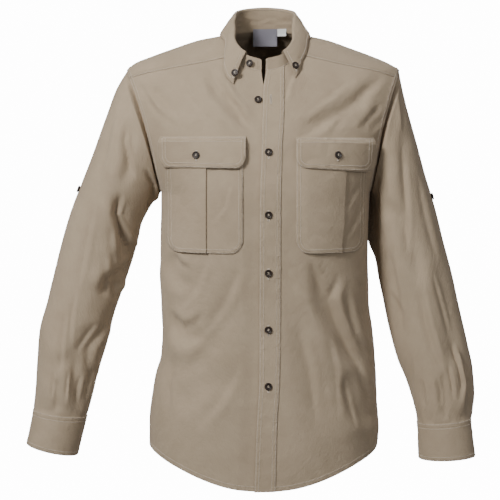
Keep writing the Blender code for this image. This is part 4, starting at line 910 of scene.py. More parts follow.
def back_grid():
    half = np.linspace(1, 0, BACK_HALF_COLUMNS * FINE + 1)
    tops = np.full(len(half), float(arm_height(YOKE_BACK_STEP)))
    halves = []
    for side in ("left", "right"):
        sign = SIDE_SIGN[side]
        hems = hem_height(half * np.pi / 2, HEM_BACK)
        heights, steps = panel_rows(tops, hems, YOKE_BACK_STEP, ARM_STEPS // 2)
        end = outer_turn(side, heights, -1)
        angles = sign * np.pi + (end - sign * np.pi) * half[None, :]
        points, normals = torso_fine(angles, heights)
        seam, seam_normals = arm_seam_fine(side, ARM_STEPS - steps)
        points[: len(steps), 0], normals[: len(steps), 0] = seam, seam_normals
        halves.append((points, normals))
    (left_p, left_n), (right_p, right_n) = halves
    points = np.concatenate([left_p, right_p[:, -2::-1]], axis=1)
    normals = np.concatenate([left_n, right_n[:, -2::-1]], axis=1)
    return points, normals


def neck_degrees_over():
    """Angles of the neckline along half the yoke, from its front corner to the centre back."""
    steps = np.linspace(
        YOKE_FRONT_STEP, -YOKE_BACK_STEP, (YOKE_FRONT_STEP + YOKE_BACK_STEP) * FINE + 1
    )
    corner = np.degrees(NECK_CORNER)
    over = np.interp(steps, [-YOKE_BACK_STEP, 0, YOKE_FRONT_STEP], [120, 90, corner])
    back = np.linspace(120, 180, BACK_HALF_COLUMNS * FINE + 1)[1:]
    return steps, over, back


def yoke_half(side):
    sign = SIDE_SIGN[side]
    shares = np.linspace(0, 1, SEAM_COLUMNS * FINE + 1)
    steps, over, back = neck_degrees_over()
    seam_height = float(arm_height(YOKE_BACK_STEP))
    corner = arm_turn(side, np.array(seam_height), -1)
    outer_back = corner + (sign * np.pi - corner) * np.linspace(0, 1, len(back) + 1)[1:]
    arm_heights = arm_height(steps)
    arm_front, arm_back = arm_turn(side, arm_heights, 1), arm_turn(side, arm_heights, -1)
    outer = np.concatenate([np.where(steps >= 0, arm_front, arm_back), outer_back])
    outer_heights = np.concatenate([arm_heights, np.full(len(back), seam_height)])
    inner = sign * np.radians(np.concatenate([over, back]))
    inner_heights = neck_height(inner)
    turns = inner[:, None] + (outer - inner)[:, None] * shares
    rise = shares**YOKE_SPREAD
    heights = inner_heights[:, None] + (outer_heights - inner_heights)[:, None] * rise
    points, normals = torso_fine(turns, heights)
    normals[:, 0] = neck_normal(turns[:, 0], heights[:, 0])
    seam, seam_normals = arm_seam_fine(side, steps)
    points[: len(steps), -1], normals[: len(steps), -1] = seam, seam_normals
    return points, normals


def yoke_grid():
    right_p, right_n = yoke_half("right")
    left_p, left_n = yoke_half("left")
    points = np.concatenate([right_p, left_p[-2::-1]])
    normals = np.concatenate([right_n, left_n[-2::-1]])
    return points.transpose(1, 0, 2), normals.transpose(1, 0, 2)


def sleeve_grid(side):
    last = SLEEVE_ROWS[side][-2][0]
    rings = np.concatenate([[0.0, 0.35], np.linspace(0.9, last, SLEEVE_RINGS - 2)])
    rings = refine(rings, FINE)
    turns = 2 * np.pi * np.arange(ARM_STEPS * FINE) / (ARM_STEPS * FINE)
    points, normals = sleeve_fine(side, turns[None, :], rings[:, None])
    points[0], normals[0] = arm_seam_fine(side, np.arange(ARM_STEPS * FINE) / FINE)
    return points, normals


def cuff_grid(side):
    first = SLEEVE_ROWS[side][-2][0]
    rings = np.linspace(first, first + 1, 4 * FINE + 1)
    start = CUFF_OPENING[side]
    turns = start + np.linspace(0, 2 * np.pi + CUFF_LAP, (ARM_STEPS + 3) * FINE + 1)
    points, normals = sleeve_fine(side, turns[None, :], rings[:, None])
    under = 1 - smooth_step((turns - start - CUFF_LAP) / math.radians(40))
    points = points - normals * ((LINED + LAYER_GAP) * under)[None, :, None]
    return points, normals


# Meshes


def quick_mesh(name, vertices, faces, material, smooth=True):
    """A mesh from arrays of vertices and of faces with three or four corners each."""
    mesh = bpy.data.meshes.new(name)
    mesh.vertices.add(len(vertices))
    mesh.vertices.foreach_set("co", np.ascontiguousarray(vertices, np.float32).ravel())
    sizes = np.concatenate([np.full(len(f), f.shape[1]) for f in faces])
    loops = np.concatenate([f.ravel() for f in faces])
    mesh.loops.add(len(loops))
    mesh.loops.foreach_set("vertex_index", loops.astype(np.int32))
    mesh.polygons.add(len(sizes))
    starts = np.concatenate([[0], np.cumsum(sizes)[:-1]])
    mesh.polygons.foreach_set("loop_start", starts.astype(np.int32))
    mesh.polygons.foreach_set("use_smooth", np.full(len(sizes), smooth))
    mesh.update(calc_edges=True)
    mesh.validate()
    mesh.materials.append(material)
    made = bpy.data.objects.new(name, mesh)
    bpy.context.scene.collection.objects.link(made)
    return made


def cloth(name, points, normals, inner, outer, seams=None, closed=False, slot="khaki_cotton"):
    """A thin shell of cloth on a fine grid: outer face, inner face and rims.

    seams names distances that the cloth's material reads: "double" from a seam sewn down with two
    rows, and "single" from a turned hem. A closed grid joins its last column to its first.
    """
    if closed:
        points, normals = (np.concatenate([g, g[:, :1]], axis=1) for g in (points, normals))
    rows, columns = points.shape[:2]
    inner, outer = (np.broadcast_to(v, (rows, columns))[..., None] for v in (inner, outer))
    spread = np.cross(np.gradient(points, axis=0), np.gradient(points, axis=1))
    mirrored = np.sum(spread * normals) < 0
    own = columns - 1 if closed else columns
    faces_out, faces_in = (points + normals * outer)[:, :own], (points + normals * inner)[:, :own]
    vertices = np.concatenate([faces_out.reshape(-1, 3), faces_in.reshape(-1, 3)])
    shift = rows * columns
    index = np.arange(shift).reshape(rows, columns)
    quads = [index[:-1, :-1], index[1:, :-1], index[1:, 1:], index[:-1, 1:]]
    face = np.stack([q.ravel() for q in quads], axis=1)
    parts = [face, face[:, ::-1] + shift]
    lines = [index[0], index[-1, ::-1]]
    if not closed:
        lines += [index[::-1, 0], index[:, -1]]
    for line in lines:
        a, b = line[:-1], line[1:]
        parts.append(np.stack([b, a, a + shift, b + shift], axis=1)[:, ::-1])
    faces = np.concatenate(parts)
    if mirrored:
        faces = faces[:, ::-1]
    side, place = faces // shift, faces % shift
    real = side * rows * own + (place // columns) * own + (place % columns) % own
    made = quick_mesh(name, vertices, [real], COTTON if slot == "khaki_cotton" else LABELS_LOOK[slot])
    runs = edge_distances(points)
    values = {"double": 0.1, "single": 0.1, "warp": runs["across"], "weft": runs["down"]}
    for key, value in (seams or {}).items():
        if closed:
            value = np.concatenate([value, value[:, :1]], axis=1)
        values[key] = value
    for key, value in values.items():
        value = np.broadcast_to(value, (rows, columns)).ravel()
        layer = made.data.attributes.new(key, "FLOAT", "CORNER")
        layer.data.foreach_set("value", value[place.ravel()].astype(np.float32))
    layer = made.data.attributes.new("inside", "FLOAT", "CORNER")
    layer.data.foreach_set("value", side.ravel().astype(np.float32))
    made.data.set_sharp_from_angle(angle=math.radians(48))
    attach(made, "root")
    return made


def line_from_edge(points, normals, edge, away, lift):
    """The line on a grid that runs a distance in from one of its edges, and its normals."""
    runs = edge_distances(points)[edge]
    raised = points + normals * np.broadcast_to(lift, points.shape[:-1])[..., None]
    if edge in ("top", "bottom"):
        runs, raised, normals = runs.T, raised.transpose(1, 0, 2), normals.transpose(1, 0, 2)
    if edge in ("last", "bottom"):
        runs, raised, normals = runs[:, ::-1], raised[:, ::-1], normals[:, ::-1]
    line = np.array([[np.interp(away, d, p[:, k]) for k in range(3)] for d, p in zip(runs, raised)])
    out = np.array([[np.interp(away, d, n[:, k]) for k in range(3)] for d, n in zip(runs, normals)])
    return line, unit(out)


def trimmed(line, normals, start, end):
    """A line without its first and last lengths."""
    run = np.concatenate([[0], np.cumsum(np.linalg.norm(np.diff(line, axis=0), axis=1))])
    keep = (run >= start) & (run[-1] - run >= end)
    return line[keep], normals[keep]


def along_line(line, normals, pitch):
    """Places at a pitch along a line of points: centres, directions ahead and directions out."""
    run = np.concatenate([[0], np.cumsum(np.linalg.norm(np.diff(line, axis=0), axis=1))])
    places = np.arange(pitch / 2, run[-1], pitch)

    def at(values, where):
        return np.stack([np.interp(where, run, values[:, k]) for k in range(3)], axis=1)

    ahead = unit(at(line, places + pitch / 3) - at(line, places - pitch / 3))
    return at(line, places), ahead, unit(at(normals, places))


def beads(name, batches, material):
    """Short threads, each lying along a direction: one mesh from batches of them.

    A batch is centres, directions along, directions out, length and half width.
    """
    solids, count, quads, tris = [], 0, [], []
    for centre, ahead, out, length, half in batches:
        aside = unit(np.cross(out, ahead))
        ring = []
        for step in (-0.32, 0.32):
            base = centre + ahead * step * length
            ring.append(base + out * half)
            ring.append(base + aside * half)
            ring.append(base - out * half * 0.6)
            ring.append(base - aside * half)
        low = centre - out * half * 0.45
        vertices = np.stack(ring + [low - ahead * length / 2, low + ahead * length / 2], axis=1)
        base = count + np.arange(len(centre))[:, None] * 10
        for k in range(4):
            j = (k + 1) % 4
            quads.append(base + np.array([[k, j, 4 + j, 4 + k]]))
            tris.append(base + np.array([[8, j, k]]))
            tris.append(base + np.array([[9, 4 + k, 4 + j]]))
        solids.append(vertices.reshape(-1, 3))
        count += len(centre) * 10
    faces = [np.concatenate(quads), np.concatenate(tris)]
    made = quick_mesh(name, np.concatenate(solids), faces, material)
    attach(made, "root")
    return made


STITCH_PITCH = 0.0026
STITCH_LENGTH = 0.0021
STITCH_HALF = 0.00045


def stitch_rows(lines):
    """Batches of single stitches along lines of points and their normals."""
    found = []
    for number, (line, normals) in enumerate(lines):
        centre, ahead, out = along_line(line, normals, STITCH_PITCH)
        place = np.arange(len(centre)) * STITCH_PITCH
        wander = value_noise(np.stack([place, place * 0, place * 0], 1), 0.012, number + 3)
        centre = centre + unit(np.cross(out, ahead)) * (wander * 0.00012)[:, None]
        found.append((centre, ahead, out, STITCH_LENGTH, STITCH_HALF))
    return found


SLITS = []


def buttonhole(centre, out, up, length):
    """Batches for a buttonhole: two close rows of thread across its slit, and its bars."""
    up = unit(up - out * (up @ out))
    aside = np.cross(out, up)
    steps = np.arange(-length / 2, length / 2, 0.00042)
    found = []
    for side in (-1, 1):
        centres = centre + up * steps[:, None] + aside * side * 0.00095 + out * 0.0001
        same = np.ones((len(steps), 1))
        found.append((centres, aside * same, out * same, 0.0017, 0.00024))
    SLITS.append((centre, up, out, length))
    for end in (-1, 1):
        steps = np.arange(-0.0014, 0.0015, 0.0004)
        centres = centre + up * end * (length / 2 + 0.0004) + aside * steps[:, None]
        same = np.ones((len(steps), 1))
        found.append((centres, up * same, out * same, 0.0018, 0.00026))
    return found


# Pieces on the front, given by where they are seen from the front


def on_front(side, across, heights):
    """Points of the front's cloth and their normals at places seen from the front."""
    across, heights = np.broadcast_arrays(across, heights)
    points, normals = torso_fine(torso_turn_each(across, heights), heights)
    if side == "right":
        points = points + normals * right_front_tuck(points, heights)[..., None]
    return points, normals


def corner_inset(height, bottom, radius):
    rise = np.clip(height - bottom, 0.0, radius)
    return radius - np.sqrt(np.maximum(radius**2 - (radius - rise) ** 2, 0.0))


def tuck_path(start, end, tuck):
    level = [POCKET_GAP + FOLDED * (k + 0.5) + 0.0004 * k for k in range(3)]
    turn = (level[1] - level[0]) / 2
    back = tuck - TUCK_DEPTH
    rising = start + (back - 0.002 - start) * np.linspace(0, 1, 26)
    soft = level[0] + (level[2] - level[0]) * smooth_step((rising - start) / 0.02)
    path = list(zip(rising, soft))
    path += [(back + (tuck - back) * s, level[2]) for s in (0.2, 0.5, 0.8, 0.97)]
    middle = (level[1] + level[2]) / 2
    half = (level[2] - level[1]) / 2
    for angle in (60, 30, 0, -30, -60):
        c, s = math.cos(math.radians(angle)), math.sin(math.radians(angle))
        path.append((tuck + half * c * 0.9, middle + half * s))
    path += [(tuck - (tuck - back) * s, level[1]) for s in (0.03, 0.5, 0.97)]
    path += [(back - turn, (level[0] + level[1]) / 2)]
    path += [(back + (tuck - back) * s, level[0]) for s in (0.03, 0.5, 1.0)]
    return np.array(path + [(tuck + (end - tuck) * s, level[0]) for s in np.linspace(0.06, 1, 22)])


def seam_waves(points, away, depth, seed):
    """Small outward waves beside a patch's seam, a distance in from its edge."""
    waves = 0.5 + 0.5 * value_noise(points, 0.0068, seed) + 0.25 * value_noise(points, 0.0036, seed + 1)
    return waves * depth * smooth_step(away / 0.0030) * np.exp(-away / 0.0090)


def pocket(side):
    size = POCKETS[side]
    depth = POCKET_TOP - POCKET_BOTTOM
    steps = refine(np.concatenate([np.linspace(0, 0.86, 8), [0.93, 0.975, 1.0]]), FINE)
    heights = POCKET_TOP - depth * steps
    outer, inner = [], []
    for height, step in zip(heights, steps):
        inset = float(corner_inset(np.array(height), POCKET_BOTTOM, POCKET_CORNER)) * 0.85
        tuck = size["tuck"] + (size["tuck_low"] - size["tuck"]) * step
        line = tuck_path(size["from"] + inset, size["to"] - inset, tuck)
        along = unit(np.gradient(line, axis=0))
        aside = np.stack([-along[:, 1], along[:, 0]], axis=1)
        edge = np.minimum(line[:, 0] - line[0, 0], line[-1, 0] - line[:, 0])
        low = min(1.0, (height - POCKET_BOTTOM) / 0.003 + 0.25)
        settle = (0.35 + 0.65 * smooth_step(edge / 0.003)) * low
        share = np.clip((line[:, 0] - size["from"]) / (size["to"] - size["from"]), 0, 1)
        slack = 0.0010 * np.sin(np.pi * share) * np.sin(np.pi * min(step * 1.02, 1.0))
        for faces, shift in ((outer, FOLDED / 2), (inner, -FOLDED / 2)):
            moved = line + aside * shift
            place, facing = on_front(side, moved[:, 0], np.full(len(moved), height))
            faces.append(place + facing * (moved[:, 1] * settle + slack)[:, None])
    outer, inner = np.array(outer), np.array(inner)
    middle, away = (outer + inner) / 2, unit(outer - inner)
    half = np.linalg.norm(outer - inner, axis=-1) / 2
    soft = value_noise(middle, 0.022, 21) * 0.0005 + value_noise(middle, 0.009, 22) * 0.00018
    facing = on_front(side, middle[..., 0], middle[..., 2])[1]
    x, z = middle[..., 0], middle[..., 2]
    hem = outline_distance(x, z, size["from"], size["to"], POCKET_BOTTOM, POCKET_CORNER)
    hem = np.maximum(hem, 0)
    soft = soft * 0.7 + 0.0003 + seam_waves(middle, hem, 0.0010, 23)
    middle = middle + facing * soft[..., None]
    seams = {"double": hem}
    made = cloth(f"pocket_{side}_cloth", middle, away, -half, half, seams)
    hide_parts(f"pocket_{side}")
    rows = []
    for inset in (0.0022, 0.0075):
        rows.append(outline_row(size, POCKET_TOP - 0.012, POCKET_BOTTOM, POCKET_CORNER, inset))
    lines = [surface_line(middle, away, half, row) for row in rows]
    return made, stitch_rows(lines)


def outline_distance(x, z, start, end, bottom, corner):
    """Distance in from a patch's sides and rounded bottom, as seen from the front."""
    middle, half = (start + end) / 2, (end - start) / 2
    across = np.abs(x - middle) - (half - corner)
    down = (bottom + corner) - z
    outside = np.hypot(np.maximum(across, 0), np.maximum(down, 0))
    inside = np.minimum(np.maximum(across, down), 0)
    return corner - (outside + inside)


def outline_row(size, top, bottom, corner, inset):
    """Places seen from the front along a patch's outline, a distance in from its edge."""
    start, end, low = size["from"] + inset, size["to"] - inset, bottom + inset
    radius = max(corner * 0.92 - inset, 0.002)
    places = [(start, z) for z in np.linspace(top, low + radius, 60)]
    for angle in np.linspace(180, 270, 24):
        c, s = math.cos(math.radians(angle)), math.sin(math.radians(angle))
        places.append((start + radius + radius * c, low + radius + radius * s))
    places += [(x, low) for x in np.linspace(start + radius, end - radius, 60)]
    for angle in np.linspace(270, 360, 24):
        c, s = math.cos(math.radians(angle)), math.sin(math.radians(angle))
        places.append((end - radius + radius * c, low + radius + radius * s))
    places += [(end, z) for z in np.linspace(low + radius, top, 60)]
    return np.array(places)


def surface_line(points, normals, lift, places):
    """Drops places seen from the front onto the outermost face of a grid."""
    raised = points + normals * np.broadcast_to(lift, points.shape[:-1])[..., None]
    flat = raised[..., [0, 2]].reshape(-1, 2)
    solid = raised.reshape(-1, 3)
    out = normals.reshape(-1, 3)
    facing = out[:, 1] < -0.2
    flat, solid, out = flat[facing], solid[facing], out[facing]
    found, directions = [], []
    for place in places:
        gap = np.hypot(flat[:, 0] - place[0], flat[:, 1] - place[1])
        near = np.argsort(gap)[:6]
        front = near[solid[near, 1] < solid[near, 1].min() + 0.0012]
        weight = 1 / (gap[front] + 1e-5)
        point = (solid[front] * weight[:, None]).sum(0) / weight.sum()
        direction = unit((out[front] * weight[:, None]).sum(0))
        offset = np.array([place[0] - point[0], 0.0, place[1] - point[2]])
        offset = offset - direction * (offset @ direction)
        found.append(point + offset)
        directions.append(direction)
    return np.array(found), np.array(directions)


def flap(side):
    size = FLAPS[side]
    across = refine(np.linspace(0, 1, 13), FINE)
    down = refine(np.array([0, 0.1, 0.2, 0.4, 0.64, 0.84, 0.95, 1.0]), FINE)
    tilt = -size["sag"] * across if side == "left" else -size["sag"] * across * 0.6
    bottom = size["top"] - FLAP_DROP + tilt
    top = np.full(len(across), size["top"])
    heights = top[None, :] + (bottom - top)[None, :] * down[:, None]
    inset = corner_inset(size["top"] - FLAP_DROP * down, size["top"] - FLAP_DROP, FLAP_CORNER)
    start = size["from"] + inset * 0.9
    end = size["to"] - inset * 0.9
    places = start[:, None] + (end - start)[:, None] * across[None, :]
    points, normals = on_front(side, places, heights)
    lift = 0.0008 + FLAP_RISE * smooth_step(down / 0.2)[:, None] * np.ones(len(across))
    wave = np.abs(value_noise(points, 0.034, 31)) * 0.0011 + value_noise(points, 0.011, 32) * 0.0002
    lift = lift + wave * smooth_step(down / 0.3)[:, None]
    x, z = points[..., 0], points[..., 2] - np.interp(across, across, tilt)[None, :]
    hem = outline_distance(x, z, size["from"], size["to"], size["top"] - FLAP_DROP, FLAP_CORNER)
    hem = np.minimum(hem, np.maximum(size["top"] - z, 0))
    rim = smooth_step(np.maximum(hem, 0) / 0.0016)
    lift = lift + seam_waves(points, np.maximum(hem, 0), 0.0007, 33)
    outer = lift + FLAP_THICK * (0.62 + 0.38 * rim)
    seams = {"double": np.maximum(hem, 0)}
    made = cloth(f"flap_{side}_cloth", points, normals, lift, outer, seams)
    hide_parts(f"flap_{side}")
    lines = []
    for inset in (0.0022, 0.0075):
        row = outline_row(size, size["top"] - 0.002, size["top"] - FLAP_DROP, FLAP_CORNER, inset)
        shift = np.interp(row[:, 0], [size["from"], size["to"]], [0, tilt[-1]])
        share = (size["top"] - row[:, 1]) / FLAP_DROP
        row[:, 1] += shift * share
        lines.append(surface_line(points, normals, outer, row))
    for inset in (0.0022, 0.0075):
        xs = np.linspace(size["from"] + 0.003, size["to"] - 0.003, 90)
        row = np.stack([xs, np.full(90, size["top"] - inset)], axis=1)
        lines.append(surface_line(points, normals, outer, row))
    return made, stitch_rows(lines), (points, normals, outer)


def front_band(front):
    """The raised strip along the left front's edge, with its buttonholes."""
    points, normals = front
    shares = np.linspace(0, 1, 4 * FINE + 1)
    band_points, band_normals = [], []
    for row in range(points.shape[0]):
        line, facing = points[row], normals[row]
        height = line[0, 2] if row == 0 else line[: 5 * FINE + 1, 2].mean()
        start = line[0, 0] + 0.0004
        places = start + (EDGES.at("band", height) - start) * shares
        place = [np.interp(places, line[:, 0], line[:, k]) for k in range(3)]
        out = [np.interp(places, line[:, 0], facing[:, k]) for k in range(3)]
        band_points.append(np.stack(place, axis=1))
        band_normals.append(unit(np.stack(out, axis=1)))
    points, normals = np.array(band_points), np.array(band_normals)
    runs = edge_distances(points)
    sides = np.minimum(runs["first"], runs["last"])
    rim = smooth_step((sides + 0.0002) / 0.0016)
    across = np.stack([points[..., 0] * 0.28, points[..., 1] * 0.2, points[..., 2]], axis=-1)
    full = value_noise(across, 0.0095, 41) * 0.00042 + value_noise(points, 0.045, 42) * 0.00035
    full = full + value_noise(across, 0.0052, 43) * 0.00022
    inner = LAYER_GAP * 0.6
    outer = LAYER_GAP + BAND_THICK * (0.35 + 0.65 * rim) + full * rim
    made = cloth("front_band_cloth", points, normals, inner, outer, {"double": sides})
    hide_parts("front_band")
    lines = [line_from_edge(points, normals, edge, away, outer) for edge, away in BAND_ROWS]
    return made, stitch_rows(lines), (points, normals, outer)


BAND_ROWS = (("first", 0.0016), ("first", 0.0066), ("last", 0.0016), ("last", 0.0066))


# Sleeve plackets


def placket(side):
    last = SLEEVE_ROWS[side][-2][0]
    rings = np.linspace(last - PLACKET_RINGS, last - 0.05, 14 * FINE)
    middle = CUFF_OPENING[side] + CUFF_LAP / 2
    turns = middle + PLACKET_TURN * np.linspace(-0.5, 0.5, 3 * FINE)
    points, normals = sleeve_fine(side, turns[None, :], rings[:, None])
    runs = edge_distances(points)
    near = np.minimum(np.minimum(runs["first"], runs["last"]), runs["top"])
    low = LAYER_GAP * 0.6
    high = LAYER_GAP + PLACKET_THICK * (0.35 + 0.65 * smooth_step((near + 0.0002) / 0.0015))
    made = cloth(f"sleeve_placket_{side}_cloth", points, normals, low, high, {"double": near + 0.0001})
    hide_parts(f"sleeve_placket_{side}")
    rows = [("first", 0.0016), ("last", 0.0016), ("top", 0.0016), ("top", 0.0120)]
    lines = [line_from_edge(points, normals, edge, away, high) for edge, away in rows]
    return made, stitch_rows(lines)


# Collar


def neckline(fronts, yoke):
    """Points and angles along the whole neckline, from the right edge to the left."""
    last = NECK_COLUMNS * FINE + 1
    right, left = fronts["right"][0][0], fronts["left"][0][0]
    points = np.concatenate([right[:last], yoke[0][0][1:-1], left[:last][::-1]])
    over, back = neck_degrees_over()[1:]
    half = np.radians(np.concatenate([over, back])[1:])
    turns = [front_top("right")[0][:last], -half, half[-2::-1], front_top("left")[0][:last][::-1]]
    turns = np.concatenate(turns)
    return points, turns, neck_height(turns)


def stand_grid(points, turns, heights):
    out, up = stand_frame(turns, heights)
    seam = neck_normal(turns, heights)
    rise = STAND.at("rise", np.degrees(np.abs(turns)))[:, None]
    ends = np.minimum(np.arange(len(turns)), np.arange(len(turns))[::-1]) / FINE
    rise = rise * (0.84 + 0.16 * np.sqrt(1 - (1 - np.clip(ends / 1.6, 0, 1)) ** 2))[:, None]
    shares = refine((1.0, 0.55, 0.15, 0.0), 2 * FINE)
    rows = [points + up * rise * share for share in shares]
    facing = np.array([unit(out * min(s / 0.15, 1) + seam * (1 - min(s / 0.15, 1))) for s in shares])
    rows = np.array(rows)
    behind = smooth_step((np.abs(turns) - 1.4) / 0.6)[None, :, None]
    wrinkle = value_noise(rows * np.array([0.45, 0.45, 2.2]), 0.0135, 51) * 0.0009
    wrinkle = wrinkle + value_noise(rows * np.array([1.0, 1.0, 1.6]), 0.009, 52) * 0.00045
    inward = np.where(shares[:, None] > 0.08, wrinkle, 0) * np.sin(np.pi * shares)[:, None]
    return rows + facing * (inward[..., None] * behind), facing


def leaf_grid(tops, turns, heights):
    used = slice(LEAF_START * FINE, len(turns) - LEAF_START * FINE)
    tops, turns, heights = tops[used], turns[used], heights[used]
    out, up = stand_frame(turns, heights)
    rows = [tops + out * r + up * u for r, u in LEAF_BEND]
    degrees = np.degrees(np.abs(turns))
    left = turns > 0
    values = []
    for key in ("edge_turn", "edge_height"):
        values.append(np.where(left, LEAVES["left"].at(key, degrees), LEAVES["right"].at(key, degrees)))
    edge, facing = torso_cloth(np.sign(turns) * np.radians(values[0]), values[1])
    edge = edge + facing * LEAF_CLEAR
    radial = radial_of(turns, heights)
    for step in range(1, LEAF_ROWS_DOWN + 1):
        share = step / LEAF_ROWS_DOWN
        bow = LEAF_BOW * 4 * share * (1 - share)
        rows.append(rows[len(LEAF_BEND) - 1] * (1 - share) + edge * share + radial * bow)
    points = np.array(rows)
    bend = spline(points[: len(LEAF_BEND) + 1], 4 if FINE > 4 else 2)
    fall = spline(points[len(LEAF_BEND) - 1 :], 3 * FINE)
    per = 4 if FINE > 4 else 2
    points = np.concatenate([bend[: (len(LEAF_BEND) - 1) * per], fall])
    normals = grid_normals(points)
    if normals[-1, 3 * FINE, 1] > 0:
        normals = -normals
    runs = edge_distances(points)
    away = np.minimum(np.minimum(runs["first"], runs["last"]), runs["bottom"])
    soft = value_noise(points, 0.028, 61) * 0.0009 + value_noise(points, 0.012, 62) * 0.00035
    inside = smooth_step(away / 0.004) * smooth_step(runs["top"] / 0.02)
    waves = pucker(runs, "bottom", 0.0009, 0.0085, 0.012, 63)
    points = points + normals * ((np.abs(soft) * 0.8 * inside) + waves * 0.6 * inside)[..., None]
    return points, normals


def collar(fronts, yoke):
    points, turns, heights = neckline(fronts, yoke)
    stand_p, stand_n = stand_grid(points, turns, heights)
    runs = edge_distances(stand_p)
    ends = np.minimum(runs["first"], runs["last"])
    rim = smooth_step((np.minimum(ends, runs["top"]) + 0.0003) / 0.0016)
    inner = -LINED * (0.6 + 0.4 * rim)
    stand = cloth("collar_stand_cloth", stand_p, stand_n, inner, 0.0, {"double": ends})
    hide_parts("collar_stand")
    rows = (("bottom", 0.0015), ("first", 0.0016), ("last", 0.0016))
    stand_rows = stitch_rows([line_from_edge(stand_p, stand_n, e, away, 0.0) for e, away in rows])
    leaf_p, leaf_n = leaf_grid(stand_p[0], turns, heights)
    runs = edge_distances(leaf_p)
    edge = np.minimum(np.minimum(runs["first"], runs["last"]), runs["bottom"])
    half = LEAF / 2 * (0.45 + 0.55 * smooth_step((edge + 0.0003) / 0.0016))
    leaf = cloth("collar_leaf_cloth", leaf_p, leaf_n, -half, half, {"single": edge + 0.0022})
    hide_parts("collar_leaf")
    lines = []
    for side, start in (("bottom", 0.006), ("first", 0.014), ("last", 0.014)):
        line = line_from_edge(leaf_p, leaf_n, side, 0.0060, half)
        lines.append(trimmed(*line, start, 0.006))
    return stand, leaf, stand_rows + stitch_rows(lines), (stand_p, stand_n), (leaf_p, leaf_n, half)


# Labels


def label(name, across, width, drop, stand):
    """A label hanging from the back neck seam, its top edge just inside the stand."""
    row = stand[0][-2 * FINE]
    behind = row[row[:, 1] > 0.02]
    behind = behind[np.argsort(behind[:, 0])]
    places = across + width * np.linspace(-0.5, 0.5, 8 * FINE + 1)
    depths = np.interp(places, behind[:, 0], behind[:, 1])
    depths = depths - LINED - SEAM_GAP - LABEL_THICK / 2 - 0.0009
    down = np.linspace(0, 1, 5 * FINE + 1)
    heights = NECK_BACK + LABEL_TUCK - (drop + LABEL_TUCK) * down
    lean = np.interp(down, (0, 0.3, 0.65, 1.0), (0.0, 0.0003, 0.0002, -0.0012))
    grid = np.stack(np.broadcast_arrays(places[None, :], depths, heights[:, None]), axis=-1)
    grid = grid + np.array([0.0, 1.0, 0.0]) * lean[:, None, None]
    soft = value_noise(grid, 0.013, 71) * 0.0005 * down[:, None]
    facing = np.broadcast_to(np.array([0.0, -1.0, 0.0]), grid.shape).copy()
    grid = grid + facing * (soft - 0.0002)[..., None]
    half = LABEL_THICK / 2 * 0.7
    made = cloth(f"{name}_cloth", grid, facing, -half, half, slot=LABEL_SLOTS[name])
    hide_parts(name)
    return made, (grid, facing, half)


LABEL_SLOTS = {"neck_label": "grey_label", "size_label": "white_label"}


# Buttons


def button(name, node, place, facing, roll):
    """A four-hole button with a dished face and a rounded rim."""
    radius, thick = BUTTON_RADIUS, BUTTON_THICK
    around = 64
    face = np.linspace(0.0, 0.70, 22)
    rim = np.array([0.74, 0.78, 0.82, 0.86, 0.90, 0.94, 0.97, 0.99, 1.0])
    out = np.concatenate([face, rim])
    height = 0.70 + 0.30 * smooth_step((out - 0.56) / 0.22)
    height = height - 0.42 * np.clip((out - 0.86) / 0.14, 0, 1) ** 2.2
    profile = list(zip(out * radius, height * thick)) + [(0.985 * radius, 0.40 * thick)]
    profile += [(0.94 * radius, 0.2 * thick), (0.80 * radius, 0.03 * thick)]
    profile += [(0.002 * radius, 0.03 * thick)]
    profile = np.array(profile)
    angles = 2 * np.pi * np.arange(around) / around + roll
    r = profile[:, 0][:, None]
    x, y = r * np.cos(angles), r * np.sin(angles)
    z = np.repeat(profile[:, 1][:, None], around, axis=1)
    top = np.arange(len(profile))[:, None] < len(out)
    for hx, hy in hole_places(roll):
        gap = np.hypot(x - hx, y - hy)
        z = z - np.where(top, (1 - smooth_step((gap - 0.00045) / 0.00030)) * thick * 0.5, 0)
    up = unit(np.array([0.0, 0.0, 1.0]) - facing * facing[2])
    side = np.cross(up, facing)
    vertices = place + side * x[..., None] + up * y[..., None] + facing * (z + SEAM_GAP)[..., None]
    index = np.arange(x.size).reshape(x.shape)
    index = np.concatenate([index, index[:, :1]], axis=1)
    quads = [index[:-1, :-1], index[1:, :-1], index[1:, 1:], index[:-1, 1:]]
    faces = np.stack([q.ravel() for q in quads], axis=1)
    made = quick_mesh(name, vertices.reshape(-1, 3), [faces], HORN)
    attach(made, "root")
    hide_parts(node)
    return button_thread(place, facing, side, up, roll)


def hole_places(roll):
    a = 0.00150
    places = []
    for k in range(4):
        angle = roll + math.pi / 4 + k * math.pi / 2
        places.append((a * math.cos(angle), a * math.sin(angle)))
    return places


def button_thread(place, facing, side, up, roll):
    """Batches for the thread between a button's holes, as two close bundles."""
    found = []
    holes = [side * x + up * y for x, y in hole_places(roll)]
    level = SEAM_GAP + BUTTON_THICK * 0.70 + 0.00005
    for start, end in ((holes[0], holes[1]), (holes[3], holes[2])):
        along = unit(end - start)
        aside = np.cross(along, facing)
        middle = place + (start + end) / 2 + facing * level
        centres = middle + aside * np.array([-0.00030, 0.0, 0.00030])[:, None]
        same = np.ones((3, 1))
        found.append((centres, along * same, facing * same, 0.0031, 0.00024))
    return found


# Materials


